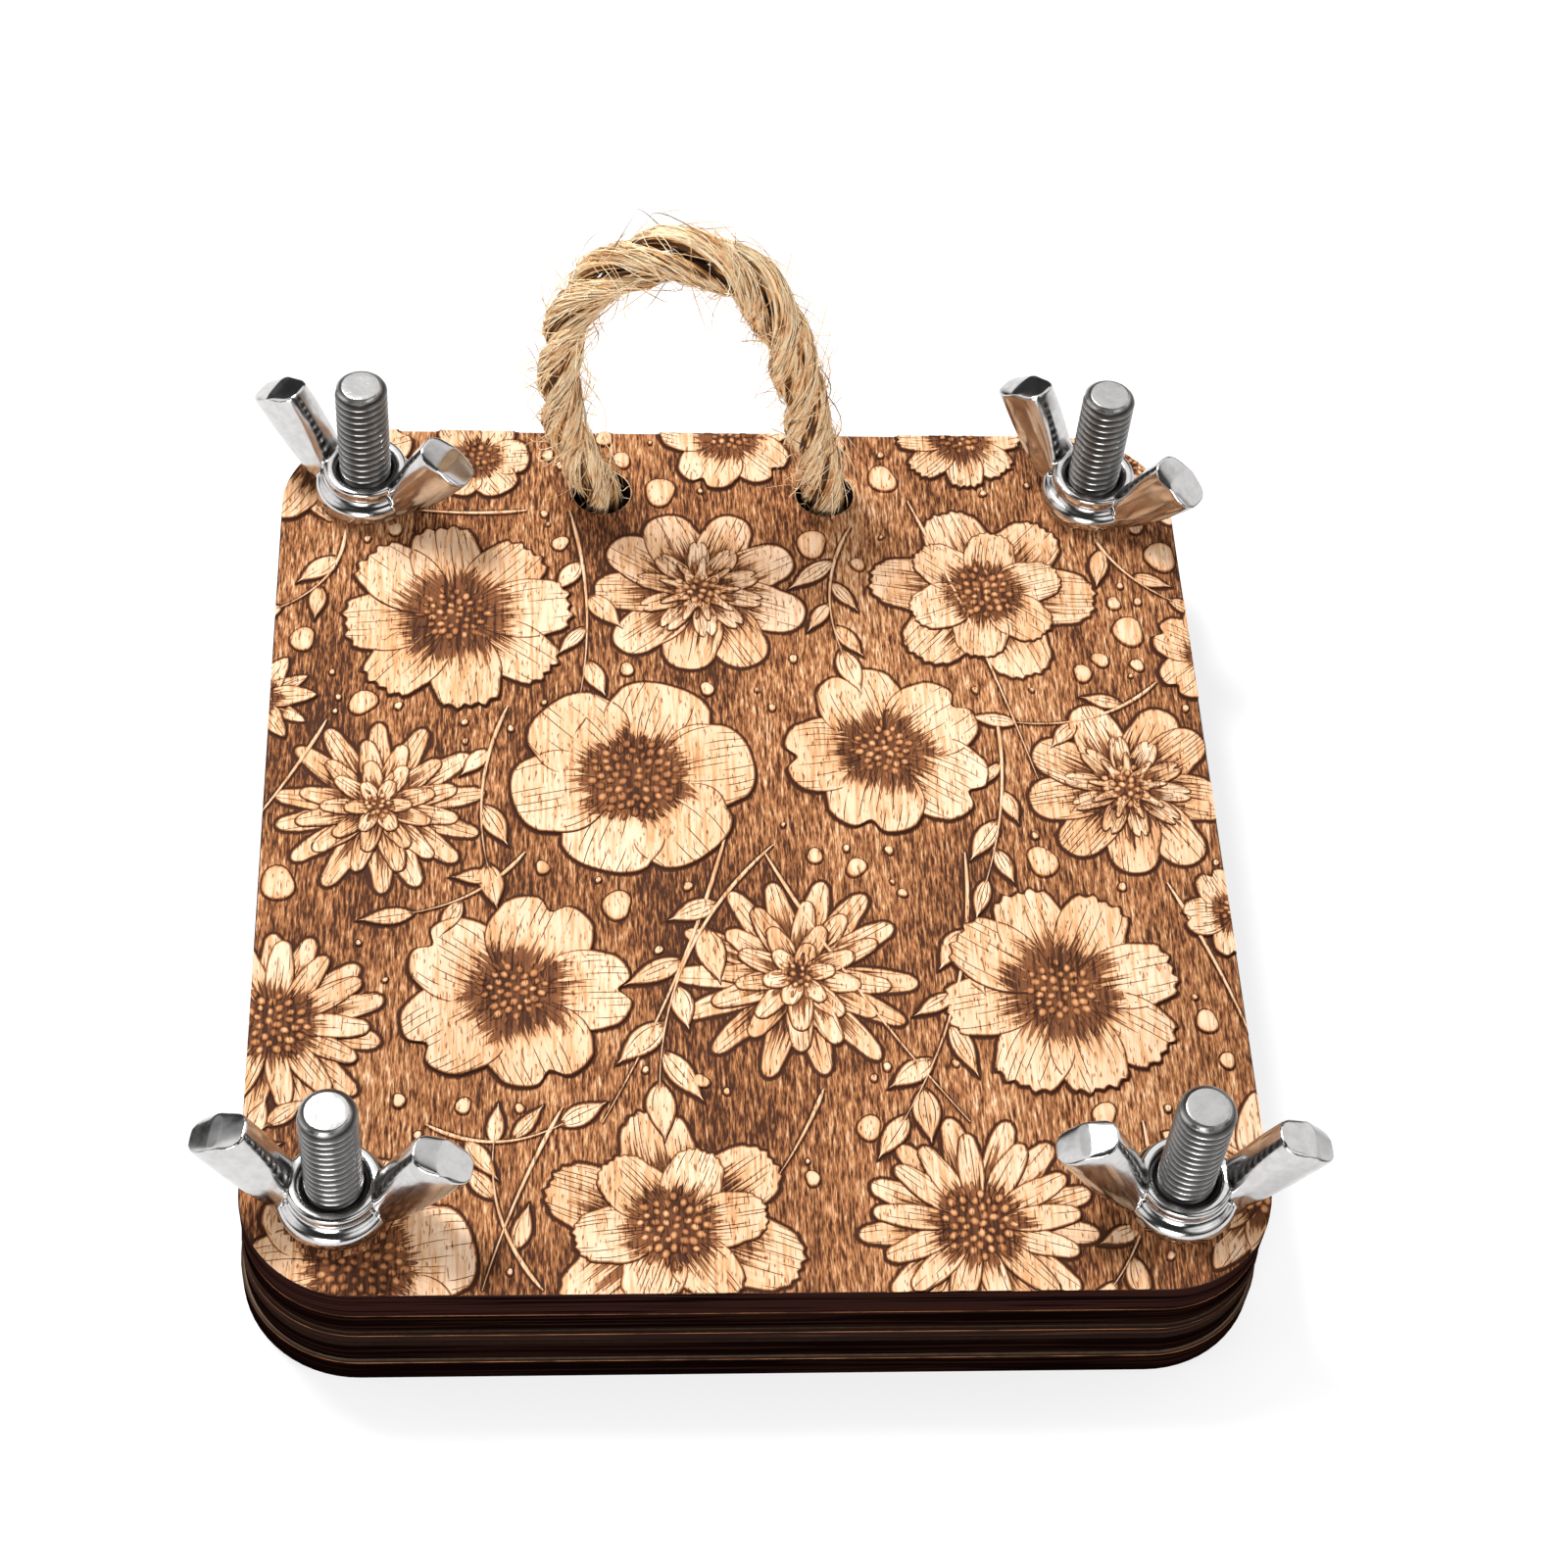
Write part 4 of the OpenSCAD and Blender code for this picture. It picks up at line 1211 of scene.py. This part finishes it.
wingNut = {
    "base": 11.8,
    "hub": 4.9,
    "collar": 9.6,
    "bore": 6.1,
    "chamfer": 0.7,
    "span": 22.2,
    "rise": 11.5,
    "endWide": 6.7,
    "endThick": 4.5,
    "ridge": 0.4,
    "rootWide": 0.9,  # shares of the hub's height
    "rootTop": 0.97,
    "rim": 0.41,  # run of the collar's upper edge
    # way out, way up, growth in width, thickness share and tilt in degrees, from the hub to the wing's end
    "wingShares": [(0, 0, 0, 1.06, 24), (0.2, 0.16, 0.33, 1.03, 34), (0.42, 0.38, 0.62, 1.01, 44),
                   (0.68, 0.66, 0.85, 1, 53), (0.9, 0.89, 0.97, 1, 60), (1, 1, 1, 0.98, 62)],
    "ends": [(0.12, 0.97, 0.97), (1.0, 0.2, 0.96)],  # past the end: share of the ridge, width and thickness
    "roundness": (0.6, 0.72),  # power of the section's cosine and sine at the root and at the end
    # the hub's outline from the belly up: distance in from the base or the collar, and share of the height
    "groove": [(0.16, 0.685), (0.2, 0.71), (0.1, 0.735), (0, 0.76), (0, 0.925), (0.1, 0.975)],
    "belly": (0.9, 0.32, 0.275),  # run of its curve, and its middle and half height as shares of the hub's
    "turns": {"front_left": -8, "front_right": 0, "back_left": -29, "back_right": -41},
    "voxel": 0.13,
    "smoothing": 6,
    "boreShade": (3.2, 3.7),  # distances from the axis where the painted shade in the bore starts to fade and ends
}


# A table's columns read at even steps, its corners rounded by a weighted mean
def smoothColumns(table, rows, fineRows=400, reach=40):
    fine = np.linspace(0, 1, fineRows)
    places = np.linspace(0, 1, len(table))
    weights = np.hanning(2 * reach + 1)
    weights = weights / weights.sum()
    columns = []
    for column in np.array(table, float).T:
        padded = np.pad(np.interp(fine, places, column), reach, "reflect", reflect_type="odd")
        columns.append(np.interp(np.linspace(0, 1, rows), fine, np.convolve(padded, weights, "valid")))
    return columns


# One wing: a rounded block swept from the hub outwards, its section a signed power of cosine and sine
def wingPoints(values, rows=44, around=56):
    out, up, growth, thickness, tilt = smoothColumns(values["wingShares"], rows)
    rootWide = values["hub"] * values["rootWide"]
    lean = math.radians(values["wingShares"][0][4])
    ringR = (values["bore"] / 2 + values["chamfer"] + values["collar"] / 2 - values["rim"]) / 2
    rootR = ringR + rootWide / 2 * math.sin(lean)
    rootZ = values["hub"] * values["rootTop"] - rootWide / 2 * math.cos(lean)
    r = rootR + out * (values["span"] / 2 - rootR)
    z = rootZ + up * (values["rise"] - rootZ)
    wide = rootWide + growth * (values["endWide"] - rootWide)
    thick, tilt = thickness * values["endThick"], np.radians(tilt)
    share, narrow, thin = np.array(values["ends"]).T
    r = np.append(r, r[-1] + share * values["ridge"] * math.cos(tilt[-1]))
    z = np.append(z, z[-1] + share * values["ridge"] * math.sin(tilt[-1]))
    wide, thick = np.append(wide, wide[-1] * narrow), np.append(thick, thick[-1] * thin)
    tilt = np.append(tilt, tilt[[-1] * len(share)])[:, None]
    a = turnsRound(around)
    power = np.interp(np.arange(len(r)) / rows, (0, 1), values["roundness"])[:, None]
    u = wide[:, None] / 2 * np.sign(np.cos(a)) * np.abs(np.cos(a)) ** power
    v = thick[:, None] / 2 * np.sign(np.sin(a)) * np.abs(np.sin(a)) ** power
    return np.stack([r[:, None] + u * np.sin(tilt), v, z[:, None] - u * np.cos(tilt)], -1)


# The hub as a turned profile: flat foot, rounded belly, a groove, the collar, and the chamfered bore
def hubPoints(values, around=96):
    base, collar, bore, high = values["base"] / 2, values["collar"] / 2, values["bore"] / 2, values["hub"]
    chamfer = values["chamfer"]
    run, middle, half = values["belly"]
    swell = np.linspace(-0.42, 0.5, 14) * math.pi
    belly = [(base - run + run * math.cos(b), high * middle + high * half * math.sin(b)) for b in swell]
    upper = [(collar - inward, high * up) for inward, up in values["groove"]]
    profile = [(bore, 0.0), (base - 0.85, 0.0), *belly, *upper, (collar - values["rim"], high),
               (bore + chamfer + 0.1, high), (bore + chamfer, high - 0.08), (bore, high - chamfer)]
    a = turnsRound(around)
    r, z = (column[:, None] for column in columnsOf(profile))
    return np.stack([r * np.cos(a), r * np.sin(a), z + 0 * a], -1)


# Hub and wings as closed skins, melted into one by a voxel remesh and smoothed as a forging is
def forgeNut(values):
    hub, wing = hubPoints(values), wingPoints(values)
    points, faces, count = [], [], 0
    for skin, endless in ((hub, True), (wing, False), (wing * (-1, -1, 1), False)):
        for part in tubeFaces(1, *skin.shape[:2], endless):
            faces += (part + count).tolist()
        points.append(skin.reshape(-1, 3))
        count += len(points[-1])
    mesh = bpy.data.meshes.new("rough_nut")
    mesh.from_pydata(np.concatenate(points).tolist(), [], faces)
    rough = bpy.data.objects.new("rough_nut", mesh)
    bpy.context.scene.collection.objects.link(rough)
    remesh = rough.modifiers.new("melt", "REMESH")
    remesh.mode = "VOXEL"
    remesh.voxel_size = values["voxel"]
    smooth = rough.modifiers.new("smooth", "SMOOTH")
    smooth.factor = 0.5
    smooth.iterations = values["smoothing"]
    done = bpy.data.meshes.new_from_object(rough.evaluated_get(bpy.context.evaluated_depsgraph_get()))
    bpy.data.objects.remove(rough)
    spots = np.empty(len(done.vertices) * 3)
    done.vertices.foreach_get("co", spots)
    corners = np.empty(len(done.loops), np.int32)
    done.loops.foreach_get("vertex_index", corners)
    return spots.reshape(-1, 3), corners.reshape(-1, 4)


# The forged skin on each bolt, turned by the nut's own angle: x cos a - y sin a, x sin a + y cos a
def makeNuts():
    spots, faces = forgeNut(wingNut)
    # Painted shade inside the bore, fading out past its chamfer
    hollowShade = 1 - fade(np.hypot(spots[:, 0], spots[:, 1]), *wingNut["boreShade"])
    for name in nutNames:
        a = math.radians(wingNut["turns"][name])
        turned = spots @ np.array([[math.cos(a), math.sin(a), 0], [-math.sin(a), math.cos(a), 0], [0, 0, 1]])
        turned[:, 2] = np.maximum(turned[:, 2], 0)
        placed = turned + (*boltPlaces[name], boardHigh[2])
        made = makePiece("forged_nut_" + name, placed, [faces], [nutSteel], {"hollowShade": hollowShade}, closed=True,
                         sharp=180)
        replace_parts(made, "wing_nut_" + name)
        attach(made, "wing_nut_" + name)
    return len(faces)


print("wing nuts, faces in each:", makeNuts())

paper = {
    "blotter": (0.84, 0.8, 0.7),
    "blotterEdge": (0.016, 0.009, 0.007),
    "card": (0.5, 0.37, 0.25),
    "cardEdge": (0.02, 0.01, 0.008),
    "cardLine": (0.06, 0.03, 0.02),
    "blotterGrain": (1500, 1500, 1500),  # waves of the fibres for each metre
    "cardGrain": (1100, 1100, 1100),
}
lowEdge = (0.0035, 0.0012, 0.0011)
lowLine = (0.015, 0.006, 0.004)
baseOutline = (*(boardHalf + 0.6), 12.6)
# The last lists are painted highlight lines along the sheets' edges
sheets = {
    "bottom_board": sheetMaterial("ply_base", wood["birch"], lowEdge, lowLine, (700, 45, 300), 1.2,
                                  baseOutline, [(3.3, 0.09)]),
    "inner_board_lower": sheetMaterial("ply_inner_lower", wood["birch"], lowEdge, lowLine, plyGrain),
    "inner_board_upper": sheetMaterial("ply_inner_upper", wood["birch"], lowEdge, lowLine, plyGrain,
                                       paintedHighlights=[(12.32, 0.06)]),
    "blotter_1": sheetMaterial("blotting_paper", paper["blotter"], paper["blotterEdge"], lowLine,
                               paper["blotterGrain"], 0.8),
    "divider": sheetMaterial("divider_card", paper["card"], paper["cardEdge"], paper["cardLine"],
                             paper["cardGrain"], 1.0, paintedHighlights=[(8.44, 0.07)]),
}
for k in (2, 3, 4):
    sheets["blotter_%d" % k] = sheets["blotter_1"]
for name, material in sheets.items():
    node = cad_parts[name]
    node.data.materials.clear()
    node.data.materials.append(material)
print("sheets")

studio = {
    "floorSize": 3.0,  # metres
    "floorDepth": -0.05,  # millimetres
    "floorGrey": 0.42,
    "floorGlow": 0.67,
    "room": 0.03,  # strength of the world between its bright panels
    # soft-edged round panels: direction, cosines where they start and are full, strength
    "panels": [((0.05, 0.56, 0.83), 0.86, 0.95, 1.3), ((-0.85, 0.1, 0.5), 0.82, 0.94, 1.2),
               ((0.6, -0.5, 0.62), 0.88, 0.96, 0.6), ((-0.3, -0.9, 0.3), 0.9, 0.97, 0.5),
               ((0.85, 0.35, 0.45), 0.84, 0.95, 1.1)],
    # lamps: place in metres, size and power
    "key": ((-0.26, 0.3, 0.66), 0.22, 5.5),
    "fill": ((0.45, -0.35, 0.75), 0.6, 0.8),
    "front": ((-0.2, -0.8, 0.22), 0.5, 5.2),
}


# A flat white floor: what the camera or a reflection sees of it is lifted to white, and shadows still
# darken it
def addFloor():
    made, graph = newMaterial("white_floor")
    direct, glossy, through = (graph.add("LightPath", output=f"Is {kind} Ray")
                               for kind in ("Camera", "Glossy", "Transmission"))
    seen = graph.math("MAXIMUM", graph.math("MAXIMUM", direct, glossy), through)
    grey = studio["floorGrey"]
    plain = graph.add("BsdfDiffuse", {}, {"Color": (grey, grey, grey, 1)})
    glow = graph.add("Emission", {}, {"Color": (1, 1, 1, 1), "Strength": seen * studio["floorGlow"]})
    graph.add("OutputMaterial", {}, {0: graph.add("AddShader", {}, {0: plain, 1: glow})})
    half = studio["floorSize"] / 2 / mm
    corners = [(x * half, y * half, studio["floorDepth"]) for x, y in ((-1, -1), (1, -1), (1, 1), (-1, 1))]
    floor = makePiece("floor", corners, [[(0, 1, 2, 3)]], [made])


# The room: a dim sky with bright round panels for the steel to reflect, and white where the camera
# looks past the floor
def addWorld():
    world = bpy.data.worlds.new("studio")
    graph = Graph(world)
    direction = graph.add("TexCoord", output="Generated")
    level = studio["room"]
    for towards, start, full, strength in studio["panels"]:
        dot = graph.vector("DOT_PRODUCT", direction, unit(np.array(towards)).tolist(), output="Value")
        level = graph.span(dot, start, full, 0.0, strength) + level
    level = graph.mixValue(graph.add("LightPath", output="Is Camera Ray"), level, 1.0)
    sky = graph.add("Background", {}, {"Color": (1, 1, 1, 1), "Strength": level})
    graph.add("OutputWorld", {}, {0: sky})
    bpy.context.scene.world = world


# A round lamp that looks at the middle of the press's foot
def addLamp(name, place, wide, power):
    data = bpy.data.lights.new(name, "AREA")
    data.shape = "DISK"
    data.size = wide
    data.energy = power
    made = bpy.data.objects.new(name, data)
    made.location = place
    away = unit(np.array(place))
    made.rotation_euler = (math.acos(away[2]), 0, math.atan2(away[1], away[0]) + math.pi / 2)
    bpy.context.scene.collection.objects.link(made)


addFloor()
addWorld()
for lampName in ("key", "fill", "front"):
    addLamp(lampName, *studio[lampName])
bpy.context.scene.view_settings.view_transform = "Standard"
print("studio")
